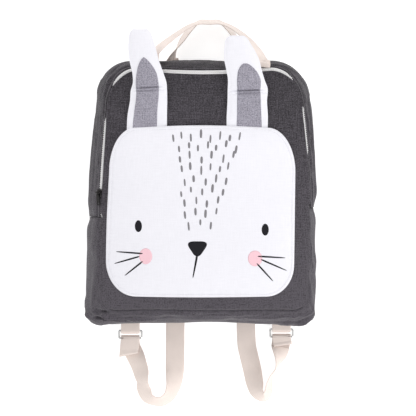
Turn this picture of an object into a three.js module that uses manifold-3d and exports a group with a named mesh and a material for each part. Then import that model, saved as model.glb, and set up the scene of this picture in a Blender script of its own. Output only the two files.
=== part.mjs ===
// A child's backpack with a rabbit's face, lying on its back with its shoulder straps spread below it.
// The bag's top points along +Y and its face along +Z. Lengths are millimetres and angles are degrees.
import * as THREE from 'three';
import { mergeVertices } from 'three/addons/utils/BufferGeometryUtils.js';
import Module from 'manifold-3d';

const wasm = await Module();
wasm.setup();

// Driving sizes of the bag
const bodyWidth = 258;
const bodyHeight = 296;
const bodyDepth = 84;
const girthRise = 30;          // height of the widest line above the floor
const backRise = 7;            // how far the back seam curls up from the back panel
const panelDropWide = 15;      // how far the front panel falls from its crown to its side seams
const panelDropTall = 16;      // and from its crown to its top and bottom seams
const panelReachWide = 0.434;  // where those falls are complete, as shares of bodyWidth and bodyHeight
const panelReachTall = 0.45;
const panelCurveWide = 2.6;    // powers that the falls grow by
const panelCurveTall = 2.8;
const backReachWide = 0.45;    // where the back's curl is complete, as shares of bodyWidth and bodyHeight
const backReachTall = 0.466;
const backCurve = 7;
const canvasWall = 1.6;
const pieceGap = 0.3;

// Driving sizes of the zip
const zipTapeWidth = 6.5;
const zipTapeWall = 0.9;
const zipCoilHeight = 0.9;
const zipCoilWidth = 0.12;     // flat top of the coil as a share of the tape's width
const zipCoilFoot = 0.28;      // and its foot
const zipSliderLength = 8;
const zipSliderWidth = 6;
const zipSliderWall = 2.2;
const zipSliderCorner = 1.4;
const zipLugWall = 1;
const zipLugLength = 2.4;
const zipLugTop = 0.3;         // metal of a lug above its pin
const zipPinRadius = 0.6;
const zipPinRise = 2;          // from the slider's top to its pin
const pullLength = 14;
const pullEndRadius = 2.3;
const pullHoleShare = 0.55;    // the hole's radius as a share of the end's radius
const pullTaperShare = 0.55;   // where the pull reaches its full width, as a share of its plate
const knuckleWall = 0.8;
const pullWall = 1.1;
const pullClearance = 0.3;
const pullDroop = 12;

// Driving sizes of the face pocket and the ears
const pocketSideMargin = 11.5; // strip of front panel that shows on each side of the pocket
const pocketHeight = 189;
const pocketShift = 5.2;       // from the panel's middle to the pocket's, leftwards
const pocketDrop = 20.5;       // and downwards
const pocketWall = 1.4;
const pocketFullness = 3;
const pocketFullnessPower = 4;
const pocketMouth = 2;         // extra room behind the pocket's top edge, where the ears are sewn in
const pocketMouthDepth = 0.28; // how far below the top edge that room starts, as a share of pocketHeight
const pocketMouthRise = 0.2;   // and over what share of pocketHeight it grows
const earLength = 116;
const earWidth = 46;
const earRootWall = 1.4;
const earPadding = 2.2;
const earLift = 5.5;
const earDroop = 5;
const earRootShare = 0.4577;   // how far above the pocket's middle the ears are sewn on, of pocketHeight
const earCarryShare = 0.375;   // how far above the bag's middle the panel carries them, of bodyHeight
const earCreaseDip = 0.28;     // depth of the crease as a share of earLift
const earPatchWall = 0.8;

// Driving sizes of the webbing and its metal rings
const webbingWidth = 21;
const webbingWall = 1.6;
const strapDrop = 90;
const strapSpreadLeft = 52.9;
const strapSpreadRight = 40;
const strapLegHalfGap = 40;
const strapAnchor = 128;
const handleRise = 48;
const handleFrontSpan = 122;
const handleBackSpan = 84;
const handleBackExtra = 4;     // how much higher the back handle stands than handleRise
const ringBar = 2.4;
const ringSlot = 6.2;
const ringSideClearance = 1.1;
const ringCorner = 2.16;
const ringSlotCorner = 0.96;
const ringDropLeft = 10.4;     // from the bag's bottom edge to the middle of a ring
const ringDropRight = 8.9;
const ringShiftLeft = 2.2;     // how far the left ring lies inside its strap's end
const flapLength = 19;
const flapLean = 0.2;          // how far the free end turns outwards, as a share of flapLength
const flapSag = 0.12;          // and how far it sinks, as a share of the fold's radius
const tabInset = 4;            // how far a tab reaches over the bag's bottom edge

// Where the main pieces sit, measured from the middle of the bag's widest outline
const panelLeft = -0.434;      // the front panel's lower corners, as shares of bodyWidth
const panelRight = 0.465;
const panelCentreX = 0.5 * (panelLeft + panelRight) * bodyWidth;
const panelCentreY = -1;
const pocketWidth = (panelRight - panelLeft) * bodyWidth - 2 * pocketSideMargin;
const pocketCentreX = panelCentreX - pocketShift;
const pocketCentreY = panelCentreY - pocketDrop;
const strapCentreX = 10.3;
const handleCentreX = 9;

const degrees = Math.PI / 180;
const quarterTurn = 90;
const stretches = 8;           // a girth is four sides and four corners, numbered from the bottom side
const samplesPerStretch = [8, 4, 10, 6, 8, 6, 10, 4];

// Outline of each girth. Widths and x places are shares of the named width, heights and y places of the
// named height; bow is how far a side swells outwards.
const girths = {
  back: {
    width: bodyWidth, height: bodyHeight, x: 0, y: 0,
    left: { low: -0.457, high: -0.415, bow: 0.008 }, right: { low: 0.457, high: 0.426, bow: 0.008 },
    low: { at: -0.466, bow: -0.004 }, high: { at: 0.466, bow: 0 },
    corners: {
      lowRight: [0.07, 0.054], highRight: [0.155, 0.135], highLeft: [0.145, 0.135], lowLeft: [0.07, 0.06],
    },
  },
  widest: {
    width: bodyWidth, height: bodyHeight, x: 0, y: 0,
    left: { low: -0.504, high: -0.456, bow: 0.0136 }, right: { low: 0.494, high: 0.469, bow: 0.0136 },
    low: { at: -0.502, bow: -0.009 }, high: { at: 0.5, bow: 0.002 },
    corners: {
      lowRight: [0.093, 0.054], highRight: [0.17, 0.142], highLeft: [0.155, 0.142], lowLeft: [0.078, 0.061],
    },
  },
  front: {
    width: bodyWidth, height: bodyHeight, x: 0, y: 0,
    left: { low: panelLeft, high: -0.4, bow: 0.008 },
    right: { low: panelRight, high: 0.43, bow: 0.0155 },
    low: { at: -0.449, bow: -0.004 }, high: { at: 0.456, bow: -0.0135 },
    corners: {
      lowRight: [0.062, 0.047], highRight: [0.132, 0.155], highLeft: [0.132, 0.155], lowLeft: [0.054, 0.047],
    },
  },
  pocket: {
    width: pocketWidth, height: pocketHeight, x: pocketCentreX, y: pocketCentreY,
    left: { low: -0.5, high: -0.482, bow: 0.003 }, right: { low: 0.496, high: 0.502, bow: 0 },
    low: { at: -0.493, bow: 0.004 }, high: { at: 0.493, bow: 0.013 },
    corners: {
      lowRight: [0.147, 0.186], highRight: [0.147, 0.256], highLeft: [0.137, 0.256], lowLeft: [0.158, 0.209],
    },
  },
};

// Folds pressed into the canvas. around counts stretches of the girth, across runs from 0 at the middle
// of the back over the back seam at 1 and the front seam at 2; out is a share of the bag's depth.
const folds = [
  { around: 6.56, across: 1.62, reachAround: 0.06, reachAcross: 0.5, out: -0.05 },
  { around: 2.49, across: 1.62, reachAround: 0.06, reachAcross: 0.5, out: -0.05 },
  { around: 2.75, across: 1.6, reachAround: 0.22, reachAcross: 0.07, out: 0.018 },
  { around: 2.75, across: 1.8, reachAround: 0.22, reachAcross: 0.06, out: 0.014 },
  { around: 7.5, across: 1.72, reachAround: 0.45, reachAcross: 0.16, out: -0.05 },
  { around: 7.75, across: 1.9, reachAround: 0.3, reachAcross: 0.06, out: 0.02 },
  { around: 1.2, across: 1.8, reachAround: 0.45, reachAcross: 0.09, out: -0.028 },
  { around: 1.35, across: 1.55, reachAround: 0.4, reachAcross: 0.09, out: 0.024 },
  { around: 4.5, across: 2.12, reachAround: 0.4, reachAcross: 0.08, out: -0.014 },
];

// Outlines of the ears and of the grey patches on them. along runs from the sewn root to the tip as a
// share of earLength, left and right are shares of earWidth from the ear's own line.
const ears = {
  left: {
    x: pocketCentreX - 0.281 * pocketWidth,
    outline: [
      { along: 0, left: -0.49, right: 0.48 }, { along: 0.18, left: -0.47, right: 0.48 },
      { along: 0.32, left: -0.41, right: 0.485 }, { along: 0.42, left: -0.39, right: 0.48 },
      { along: 0.48, left: -0.345, right: 0.47 }, { along: 0.56, left: -0.35, right: 0.41 },
      { along: 0.69, left: -0.42, right: 0.29 }, { along: 0.82, left: -0.455, right: 0.19 },
      { along: 0.91, left: -0.45, right: 0.115 }, { along: 0.975, left: -0.385, right: 0.04 },
      { along: 1, left: -0.29, right: -0.06 },
    ],
    patch: [
      { along: 0.095, left: -0.34, right: 0.24 }, { along: 0.23, left: -0.3, right: 0.25 },
      { along: 0.42, left: -0.235, right: 0.3 }, { along: 0.49, left: -0.26, right: 0.27 },
      { along: 0.59, left: -0.26, right: 0.18 }, { along: 0.66, left: -0.19, right: 0.06 },
      { along: 0.725, left: -0.11, right: -0.07 },
    ],
    reach: 1,
  },
  right: {
    x: pocketCentreX + 0.2465 * pocketWidth,
    outline: [
      { along: 0, left: -0.49, right: 0.49 }, { along: 0.18, left: -0.49, right: 0.5 },
      { along: 0.34, left: -0.47, right: 0.48 }, { along: 0.46, left: -0.465, right: 0.495 },
      { along: 0.55, left: -0.46, right: 0.42 }, { along: 0.65, left: -0.5, right: 0.35 },
      { along: 0.76, left: -0.55, right: 0.285 }, { along: 0.86, left: -0.545, right: 0.165 },
      { along: 0.94, left: -0.515, right: 0.05 }, { along: 0.985, left: -0.41, right: -0.03 },
      { along: 1, left: -0.31, right: -0.09 },
    ],
    patch: [
      { along: 0.1, left: -0.25, right: 0.35 }, { along: 0.25, left: -0.24, right: 0.335 },
      { along: 0.43, left: -0.235, right: 0.31 }, { along: 0.52, left: -0.25, right: 0.29 },
      { along: 0.6, left: -0.25, right: 0.2 }, { along: 0.69, left: -0.2, right: 0.1 },
      { along: 0.75, left: -0.08, right: -0.04 },
    ],
    reach: 0.935,
  },
};

// Half of a carry handle, from its sewn end to its highest point. out is a share of half its span, up a
// share of handleRise above the bag's top, height a share of the bag's depth, and tilt stands the webbing
// on its edge. A seat says what a sewn row lies on instead: the gusset beside the zip, or the back panel.
const frontHandleHalf = [
  { out: 1, up: -0.18, seat: 'zip', tilt: 0 }, { out: 0.99, up: -0.06, height: 0.775, tilt: 4 },
  { out: 0.94, up: 0.09, height: 0.74, tilt: 24 }, { out: 0.84, up: 0.27, height: 0.69, tilt: 44 },
  { out: 0.72, up: 0.44, height: 0.65, tilt: 58 }, { out: 0.57, up: 0.61, height: 0.61, tilt: 64 },
  { out: 0.4, up: 0.76, height: 0.59, tilt: 66 }, { out: 0.2, up: 0.84, height: 0.58, tilt: 66 },
];
const backHandleHalf = [
  { out: 1, up: -0.28, seat: 'back', tilt: 0 }, { out: 1, up: -0.19, seat: 'back', tilt: 0 },
  { out: 1, up: 0.0, height: 0.085, tilt: -10 },
  { out: 0.92, up: 0.22, height: 0.1, tilt: -36 }, { out: 0.76, up: 0.46, height: 0.135, tilt: -56 },
  { out: 0.54, up: 0.7, height: 0.145, tilt: -64 }, { out: 0.27, up: 0.88, height: 0.15, tilt: -66 },
];

// Free part of each shoulder strap, from the bag's bottom edge round to its ring. out is a share of the
// strap's spread, down a share of strapDrop, and tilt lifts the inner edge of a bend.
const leftStrapRoute = [
  { out: 0, down: 0, tilt: 0 }, { out: 0, down: 0.36, tilt: 0 }, { out: 0, down: 0.566, tilt: 6 },
  { out: 0.05, down: 0.715, tilt: 25 }, { out: 0.18, down: 0.845, tilt: 42 },
  { out: 0.37, down: 0.9, tilt: 48 }, { out: 0.552, down: 0.868, tilt: 50 },
  { out: 0.669, down: 0.78, tilt: 52 }, { out: 0.71, down: 0.67, tilt: 44 },
  { out: 0.735, down: 0.566, tilt: 26 }, { out: 0.786, down: 0.44, tilt: 30 },
  { out: 0.85, down: 0.34, tilt: 8 }, { out: 0.92, down: 0.25, tilt: 0 },
];
const rightStrapRoute = [
  { out: 0, down: 0, tilt: 0 }, { out: 0.01, down: 0.21, tilt: 0 }, { out: 0.065, down: 0.39, tilt: 0 },
  { out: 0.17, down: 0.61, tilt: -14 }, { out: 0.258, down: 0.767, tilt: -42 },
  { out: 0.358, down: 0.873, tilt: -62 }, { out: 0.505, down: 0.915, tilt: -66 },
  { out: 0.625, down: 0.852, tilt: -64 }, { out: 0.67, down: 0.742, tilt: -62 },
  { out: 0.73, down: 0.641, tilt: -70 }, { out: 0.8375, down: 0.553, tilt: -68 },
  { out: 0.9225, down: 0.466, tilt: -44 }, { out: 0.965, down: 0.366, tilt: -18 },
  { out: 0.985, down: 0.27, tilt: 0 },
];

// Small helpers for numbers and points
const mix = (a, b, share) => a + (b - a) * share;
const clamp = (value, low, high) => Math.min(Math.max(value, low), high);
const smooth = (value) => { const t = clamp(value, 0, 1); return t * t * (3 - 2 * t); };
const vector = (x, y, z) => new THREE.Vector3(x, y, z);

// Height of the front panel's outside over the floor: a crown that falls ever faster towards the seams.
function frontHeight(x, y) {
  const wide = Math.abs(x - panelCentreX) / (panelReachWide * bodyWidth);
  const tall = Math.abs(y - panelCentreY) / (panelReachTall * bodyHeight);
  return bodyDepth - panelDropWide * wide ** panelCurveWide - panelDropTall * tall ** panelCurveTall;
}

// Height of the outside of the back panel: flat on the strap webbing, curling up near its seam.
function backHeight(x, y) {
  const wide = Math.abs(x) / (backReachWide * bodyWidth);
  const tall = Math.abs(y) / (backReachTall * bodyHeight);
  return webbingWall + pieceGap + backRise * clamp(Math.max(wide, tall) ** backCurve, 0, 1);
}

// One point of a girth: straight, slightly bowed sides joined by elliptical corners.
function girthPoint(girth, around) {
  const turn = ((around % stretches) + stretches) % stretches;
  const stretch = Math.floor(turn);
  const share = turn - stretch;
  const { left, right, low, high, corners } = girth;
  const corner = (x, y, size, inX, inY, from) => ({ x: x + inX * size[0], y: y + inY * size[1], size, from });
  const centres = [
    corner(right.low, low.at, corners.lowRight, -1, 1, -quarterTurn),
    corner(right.high, high.at, corners.highRight, -1, -1, 0),
    corner(left.high, high.at, corners.highLeft, 1, -1, quarterTurn),
    corner(left.low, low.at, corners.lowLeft, 1, 1, 2 * quarterTurn),
  ];
  const onCorner = (centre, angle) => ({
    x: centre.x + centre.size[0] * Math.cos(angle * degrees),
    y: centre.y + centre.size[1] * Math.sin(angle * degrees),
  });
  let point;
  if (stretch % 2 === 1) {
    const bend = centres[(stretch - 1) / 2];
    point = onCorner(bend, bend.from + quarterTurn * share);
  } else {
    const side = stretch / 2;
    const before = centres[(side + 3) % 4];
    const after = centres[side];
    const start = onCorner(before, before.from + quarterTurn);
    const end = onCorner(after, after.from);
    const bow = [low, right, high, left][side].bow * Math.sin(Math.PI * share);
    const outward = [[0, -1], [1, 0], [0, 1], [-1, 0]][side];
    point = {
      x: mix(start.x, end.x, share) + bow * outward[0],
      y: mix(start.y, end.y, share) + bow * outward[1],
    };
  }
  return { x: girth.x + girth.width * point.x, y: girth.y + girth.height * point.y };
}

// The bag's outside before its folds. across is 0 at the middle of the back panel, 1 at the back seam, 2
// at the front seam and 3 at the middle of the front panel.
const widestAcross = 1.42;
const backLean = 75;
const frontLean = 62;
function smoothSkin(around, across) {
  if (across <= 1) {
    const seam = girthPoint(girths.back, around);
    const x = seam.x * across;
    const y = seam.y * across;
    return vector(x, y, backHeight(x, y));
  }
  if (across >= 2) {
    const seam = girthPoint(girths.front, around);
    const x = mix(seam.x, panelCentreX, across - 2);
    const y = mix(seam.y, panelCentreY, across - 2);
    return vector(x, y, frontHeight(x, y));
  }
  const wide = girthPoint(girths.widest, around);
  const below = across < widestAcross;
  const seam = girthPoint(below ? girths.back : girths.front, around);
  const seamHeight = below ? backHeight(seam.x, seam.y) : frontHeight(seam.x, seam.y);
  const lean = below ? backLean : frontLean;
  const share = (across - widestAcross) / ((below ? 1 : 2) - widestAcross);
  const inward = (1 - Math.cos(lean * share * degrees)) / (1 - Math.cos(lean * degrees));
  const upward = Math.sin(lean * share * degrees) / Math.sin(lean * degrees);
  const height = mix(girthRise, seamHeight, upward);
  return vector(mix(wide.x, seam.x, inward), mix(wide.y, seam.y, inward), height);
}

// Outward normal of a surface by central differences.
const nudge = 0.02;
function normalOf(surface, around, across) {
  const alongAround = surface(around + nudge, across).sub(surface(around - nudge, across));
  const alongAcross = surface(around, across + nudge).sub(surface(around, across - nudge));
  return alongAround.cross(alongAcross).normalize();
}

// The bag's outside with its folds: each fold is a bump that fades away from its middle.
const leastFold = 0.01;
function skin(around, across) {
  const point = smoothSkin(around, across);
  let out = 0;
  for (const fold of folds) {
    let turn = Math.abs(around - fold.around) % stretches;
    turn = Math.min(turn, stretches - turn);
    const reach = (turn / fold.reachAround) ** 2 + ((across - fold.across) / fold.reachAcross) ** 2;
    out += fold.out * bodyDepth * Math.exp(-reach);
  }
  if (Math.abs(out) < leastFold) return point;
  return point.addScaledVector(normalOf(smoothSkin, around, across), out);
}

// The wall's direction is shared by both pieces that meet at a seam, so their cut edges stay parallel.
const poleReach = 0.05;
function wallNormal(around, across) {
  const seam = Math.round(across);
  const atSeam = (seam === 1 || seam === 2) && Math.abs(across - seam) < nudge;
  if (across < poleReach) return vector(0, 0, -1);
  if (across > 3 - poleReach) return vector(0, 0, 1);
  return normalOf(skin, around, atSeam ? seam : across);
}

// Steps in around or across that measure a given length on the skin.
function acrossStep(around, across, length) {
  const span = skin(around, across + nudge).distanceTo(skin(around, across - nudge));
  return (length * 2 * nudge) / span;
}
function aroundStep(around, across, length) {
  const span = skin(around + nudge, across).distanceTo(skin(around - nudge, across));
  return (length * 2 * nudge) / span;
}

// A closed wall between two grids of points. The first index runs around, the second across.
function closedWall(outer, inner, loop = false) {
  const rows = outer[0].length;
  const points = [];
  const write = (a, b, c) => points.push(a, b, c);
  const quad = (a, b, c, d) => { write(a, b, c); write(a, c, d); };
  const last = outer.length - 1;
  const columns = loop ? outer.length : last;
  for (let i = 0; i < columns; i += 1) {
    const next = (i + 1) % outer.length;
    for (let j = 0; j < rows - 1; j += 1) {
      quad(outer[i][j], outer[next][j], outer[next][j + 1], outer[i][j + 1]);
      quad(inner[i][j], inner[i][j + 1], inner[next][j + 1], inner[next][j]);
    }
    quad(outer[next][0], outer[i][0], inner[i][0], inner[next][0]);
    quad(outer[i][rows - 1], outer[next][rows - 1], inner[next][rows - 1], inner[i][rows - 1]);
  }
  if (!loop) {
    for (let j = 0; j < rows - 1; j += 1) {
      quad(outer[0][j], outer[0][j + 1], inner[0][j + 1], inner[0][j]);
      quad(outer[last][j + 1], outer[last][j], inner[last][j], inner[last][j + 1]);
    }
  }
  return solidGeometry(points);
}

// Vertices merged, collapsed triangles dropped and the faces turned outwards.
const mergeReach = 1e-4;
function solidGeometry(points) {
  const loose = new THREE.BufferGeometry().setFromPoints(points);
  const merged = mergeVertices(loose, mergeReach);
  const index = merged.index.array;
  const kept = [];
  let volume = 0;
  const corners = [vector(0, 0, 0), vector(0, 0, 0), vector(0, 0, 0)];
  for (let i = 0; i < index.length; i += 3) {
    const [a, b, c] = [index[i], index[i + 1], index[i + 2]];
    if (a === b || b === c || a === c) continue;
    kept.push(a, b, c);
    const { position } = merged.attributes;
    corners.forEach((corner, k) => corner.fromBufferAttribute(position, index[i + k]));
    volume += corners[0].dot(corners[1].clone().cross(corners[2]));
  }
  if (volume < 0) {
    for (let i = 0; i < kept.length; i += 3) [kept[i + 1], kept[i + 2]] = [kept[i + 2], kept[i + 1]];
  }
  merged.setIndex(kept);
  merged.computeVertexNormals();
  return merged;
}

const sampleArounds = samplesPerStretch.flatMap(
  (count, stretch) => Array.from({ length: count }, (_, k) => stretch + k / count),
);
function aroundsBetween(from, to) {
  const inside = [...sampleArounds, ...sampleArounds.map((around) => around + stretches)];
  const clear = 0.03;
  return [from, ...inside.filter((around) => around > from + clear && around < to - clear), to];
}

// A piece of the bag's skin. acrossOf gives the piece's rows at one around; lift raises a row off the skin.
function skinPiece(arounds, acrossOf, wall, loop, lift = () => 0) {
  const outer = [];
  const inner = [];
  for (const around of arounds) {
    const rows = acrossOf(around);
    const normals = rows.map((across) => wallNormal(around, across));
    outer.push(rows.map((across, j) => skin(around, across).addScaledVector(normals[j], lift(j))));
    inner.push(rows.map((across, j) => skin(around, across).addScaledVector(normals[j], -wall)));
  }
  return closedWall(outer, inner, loop);
}
const spread = (from, to, count) => Array.from(
  { length: count + 1 },
  (_, k) => mix(from, to, k / count),
);

const frontRows = [0.14, 0.3, 0.5, 0.75];   // shares of the way from the seam to the middle
const backRows = [0.5, 0.8, 0.93];          // shares of the way from the middle to the seam
const gussetRowCount = 8;
const notchLeft = 6.56;
const notchRight = 2.49;

function frontPanelGeometry() {
  const inside = frontRows.map((share) => 2 + share);
  const rows = (around) => [2 + acrossStep(around, 2 + nudge, pieceGap / 2), ...inside, 3];
  return skinPiece(sampleArounds, rows, canvasWall, true);
}
function backPanelGeometry() {
  const rows = (around) => [0, ...backRows, 1 - acrossStep(around, 1 - nudge, pieceGap / 2)];
  return skinPiece(sampleArounds, rows, canvasWall, true);
}
const besideSeam = 0.03;       // how far beside a seam the length of a step across is measured
const middleOfBand = 1.5;
const middleOfZip = 1.95;
const zipEdge = (around) => 2 - acrossStep(around, 2 - besideSeam, zipTapeWidth);
const seamClear = (around, seam, side) => (
  seam + side * acrossStep(around, seam + side * besideSeam, pieceGap / 2)
);
function upperGussetGeometry() {
  const from = notchRight + aroundStep(notchRight, middleOfBand, pieceGap / 2);
  const to = notchLeft - aroundStep(notchLeft, middleOfBand, pieceGap / 2);
  const high = (around) => seamClear(around, zipEdge(around), -1);
  const rows = (around) => spread(seamClear(around, 1, 1), high(around), gussetRowCount);
  return skinPiece(aroundsBetween(from, to), rows, canvasWall, false);
}
function lowerGussetGeometry() {
  const from = notchLeft + aroundStep(notchLeft, middleOfBand, pieceGap / 2);
  const to = stretches + notchRight - aroundStep(notchRight, middleOfBand, pieceGap / 2);
  const rows = (around) => spread(seamClear(around, 1, 1), seamClear(around, 2, -1), gussetRowCount);
  return skinPiece(aroundsBetween(from, to), rows, canvasWall, false);
}
function zipGeometry() {
  const from = notchRight + aroundStep(notchRight, middleOfZip, pieceGap / 2);
  const to = notchLeft - aroundStep(notchLeft, middleOfZip, pieceGap / 2);
  const [top, foot] = [zipCoilWidth / 2, zipCoilFoot / 2];
  const shares = [0, 0.5 - foot, 0.5 - top, 0.5 + top, 0.5 + foot, 1];
  const rows = (around) => {
    const low = seamClear(around, zipEdge(around), 1);
    const high = seamClear(around, 2, -1);
    return shares.map((share) => mix(low, high, share));
  };
  const ridge = [0, 0, 1, 1, 0, 0];
  return skinPiece(aroundsBetween(from, to), rows, zipTapeWall, false, (j) => ridge[j] * zipCoilHeight);
}

// The face pocket: one cloth wall on the front panel, sewn at its sides and bottom and open at its top.
const pocketRows = [0, 0.1, 0.25, 0.45, 0.7, 1];
function pocketRoom(x, y, share) {
  const top = pocketCentreY + pocketHeight / 2;
  const start = top - pocketMouthDepth * pocketHeight;
  const mouth = pocketMouth * smooth((y - start) / (pocketMouthRise * pocketHeight));
  return pieceGap + mouth + pocketFullness * (1 - (1 - share) ** pocketFullnessPower);
}
function pocketGeometry() {
  const outer = [];
  const inner = [];
  for (const around of sampleArounds) {
    const edge = girthPoint(girths.pocket, around);
    const column = pocketRows.map((share) => {
      const x = mix(edge.x, pocketCentreX, share);
      const y = mix(edge.y, pocketCentreY, share);
      return vector(x, y, frontHeight(x, y) + pocketRoom(x, y, share));
    });
    inner.push(column);
    outer.push(column.map((point) => point.clone().add(vector(0, 0, pocketWall))));
  }
  return closedWall(outer, inner, true);
}

// Ears: padded flaps that come out from behind the pocket's top edge, bend at a crease and reach past the
// bag. The places below are shares of the ear's length, each with the share over which it takes effect.
const earRootY = pocketCentreY + earRootShare * pocketHeight;
const earCrease = 0.44;
const earCreaseReach = 0.03;
const earRise = { from: 0.1, over: 0.4 };
const earPad = { from: 0.11, over: 0.14 };
const earBend = { from: 0.6, over: 0.4 };
const earColumns = 6;
const patchColumns = 4;
const shareOf = (stage, along) => smooth((along - stage.from) / stage.over);
function earFloor(x, y, along) {
  const carried = frontHeight(x, Math.min(y, earCarryShare * bodyHeight));
  const crease = earCreaseDip * earLift * Math.exp(-(((along - earCrease) / earCreaseReach) ** 2));
  const droop = earDroop * shareOf(earBend, along) ** 2;
  return carried + pieceGap + earLift * shareOf(earRise, along) - crease - droop;
}
function earTop(x, y, along, offAxis) {
  const padding = earPadding * shareOf(earPad, along) * (1 - offAxis ** 2);
  return earFloor(x, y, along) + earRootWall + padding;
}
function outlineAt(table, along) {
  let k = 0;
  while (k < table.length - 2 && table[k + 1].along < along) k += 1;
  const [below, above] = [table[k], table[k + 1]];
  const share = (along - below.along) / (above.along - below.along);
  return { left: mix(below.left, above.left, share), right: mix(below.right, above.right, share) };
}
function earSheet(ear, table, columns, height) {
  const creaseRows = [-1.4, -0.7, 0, 0.7, 1.4].map((share) => earCrease + share * earCreaseReach);
  const tableRows = [...ear.outline, ...ear.patch].map((row) => row.along);
  const [first, last] = [table[0].along, table[table.length - 1].along];
  const used = [...new Set([...tableRows, ...creaseRows])].filter((along) => along >= first && along <= last);
  used.sort((a, b) => a - b);
  return spread(0, 1, columns).map((share) => used.map((along) => {
    const edges = outlineAt(table, along);
    const whole = outlineAt(ear.outline, along);
    const x = ear.x + earWidth * mix(edges.left, edges.right, share);
    const y = earRootY + earLength * ear.reach * along;
    const middle = (whole.left + whole.right) / 2;
    const offAxis = ((x - ear.x) / earWidth - middle) / ((whole.right - whole.left) / 2);
    return vector(x, y, height(x, y, along, offAxis));
  }));
}
function earGeometry(ear) {
  const outer = earSheet(ear, ear.outline, earColumns, earTop);
  const inner = earSheet(ear, ear.outline, earColumns, earFloor);
  return closedWall(outer, inner);
}
function earPatchGeometry(ear) {
  const top = (...place) => earTop(...place) + pieceGap + earPatchWall;
  const under = (...place) => earTop(...place) + pieceGap;
  const outer = earSheet(ear, ear.patch, patchColumns, top);
  return closedWall(outer, earSheet(ear, ear.patch, patchColumns, under));
}

// Webbing carried along stations of place and tilt, with the direction of its width where it turns over.
const stationSteps = 2;
function smoothStations(stations, steps) {
  const columns = ['x', 'y', 'z', 'tilt'];
  const rows = [];
  for (let k = 0; k < stations.length - 1; k += 1) {
    const [a, b, c, d] = [-1, 0, 1, 2].map((s) => stations[clamp(k + s, 0, stations.length - 1)]);
    for (let step = 0; step < steps; step += 1) {
      const t = step / steps;
      const row = { facing: b.facing };
      for (const key of columns) {
        const square = 2 * a[key] - 5 * b[key] + 4 * c[key] - d[key];
        const cube = 3 * b[key] - a[key] - 3 * c[key] + d[key];
        row[key] = 0.5 * (2 * b[key] + (c[key] - a[key]) * t + square * t ** 2 + cube * t ** 3);
      }
      rows.push(row);
    }
  }
  rows.push(stations[stations.length - 1]);
  return rows;
}
function ribbonGeometry(stations) {
  const centres = stations.map((row) => vector(row.x, row.y, row.z));
  const outer = [];
  const inner = [];
  stations.forEach((row, k) => {
    const before = centres[Math.max(k - 1, 0)];
    const after = centres[Math.min(k + 1, centres.length - 1)];
    const tangent = after.clone().sub(before).normalize();
    const level = row.facing ? vector(...row.facing, 0) : vector(tangent.y, -tangent.x, 0).normalize();
    const raised = vector(0, 0, Math.sin(row.tilt * degrees));
    const width = level.multiplyScalar(Math.cos(row.tilt * degrees)).add(raised);
    const face = width.clone().cross(tangent).normalize();
    const across = tangent.clone().cross(face).normalize();
    const shift = (side, rise) => centres[k].clone()
      .addScaledVector(across, side * webbingWidth / 2).addScaledVector(face, rise * webbingWall / 2);
    outer.push([shift(-1, 1), shift(1, 1)]);
    inner.push([shift(-1, -1), shift(1, -1)]);
  });
  return closedWall(outer, inner);
}

// The place round the front girth's top side that lies at a given x.
function aroundOnTop(x) {
  const [start, end] = [girthPoint(girths.front, 4).x, girthPoint(girths.front, 5).x];
  return 4 + (x - start) / (end - start);
}

// Carry handles, each a half table mirrored about its highest point.
function handleStations(half, span, top) {
  const place = (row, side) => {
    const x = handleCentreX + side * row.out * span / 2;
    const y = 0.5 * bodyHeight + row.up * top;
    const clear = pieceGap + webbingWall / 2;
    if (row.seat === 'zip') {
      const around = aroundOnTop(x);
      const across = zipEdge(around) - acrossStep(around, zipEdge(around), 1);
      const place = skin(around, across).addScaledVector(wallNormal(around, across), clear);
      return { x, y: place.y, z: place.z, tilt: row.tilt };
    }
    if (row.seat === 'back') {
      const edges = [-webbingWidth / 2, webbingWidth / 2].map((off) => backHeight(x + off, y));
      return { x, y, z: Math.min(...edges) - clear, tilt: row.tilt };
    }
    return { x, y, z: row.height * bodyDepth, tilt: row.tilt };
  };
  const apex = { ...half[half.length - 1], out: 0 };
  const stations = [
    ...half.map((row) => place(row, -1)),
    place(apex, 1),
    ...[...half].reverse().map((row) => place(row, 1)),
  ];
  return smoothStations(stations, stationSteps);
}

// Shoulder straps. Each lies under the back panel, comes out below, turns back and folds over its ring.
const bottomEdge = -0.504 * bodyHeight;
const restHeight = (tilt) => Math.abs(Math.sin(tilt * degrees)) * webbingWidth / 2
  + Math.cos(tilt * degrees) * webbingWall / 2;
const foldSlack = 0.45;        // lets the webbing pass the bar's square corners
const foldRadius = ringBar / 2 + pieceGap + webbingWall / 2 + foldSlack;
const ringCentreHeight = foldRadius + webbingWall / 2;
const ringPitch = ringSlot + ringBar;
const foldAngles = [-90, -55, -20, 20, 55, 90];
const flapShares = [0.3, 0.65, 1];
const ringApproach = [18, 8];  // distances before a ring at which its strap already runs straight to it

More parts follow.
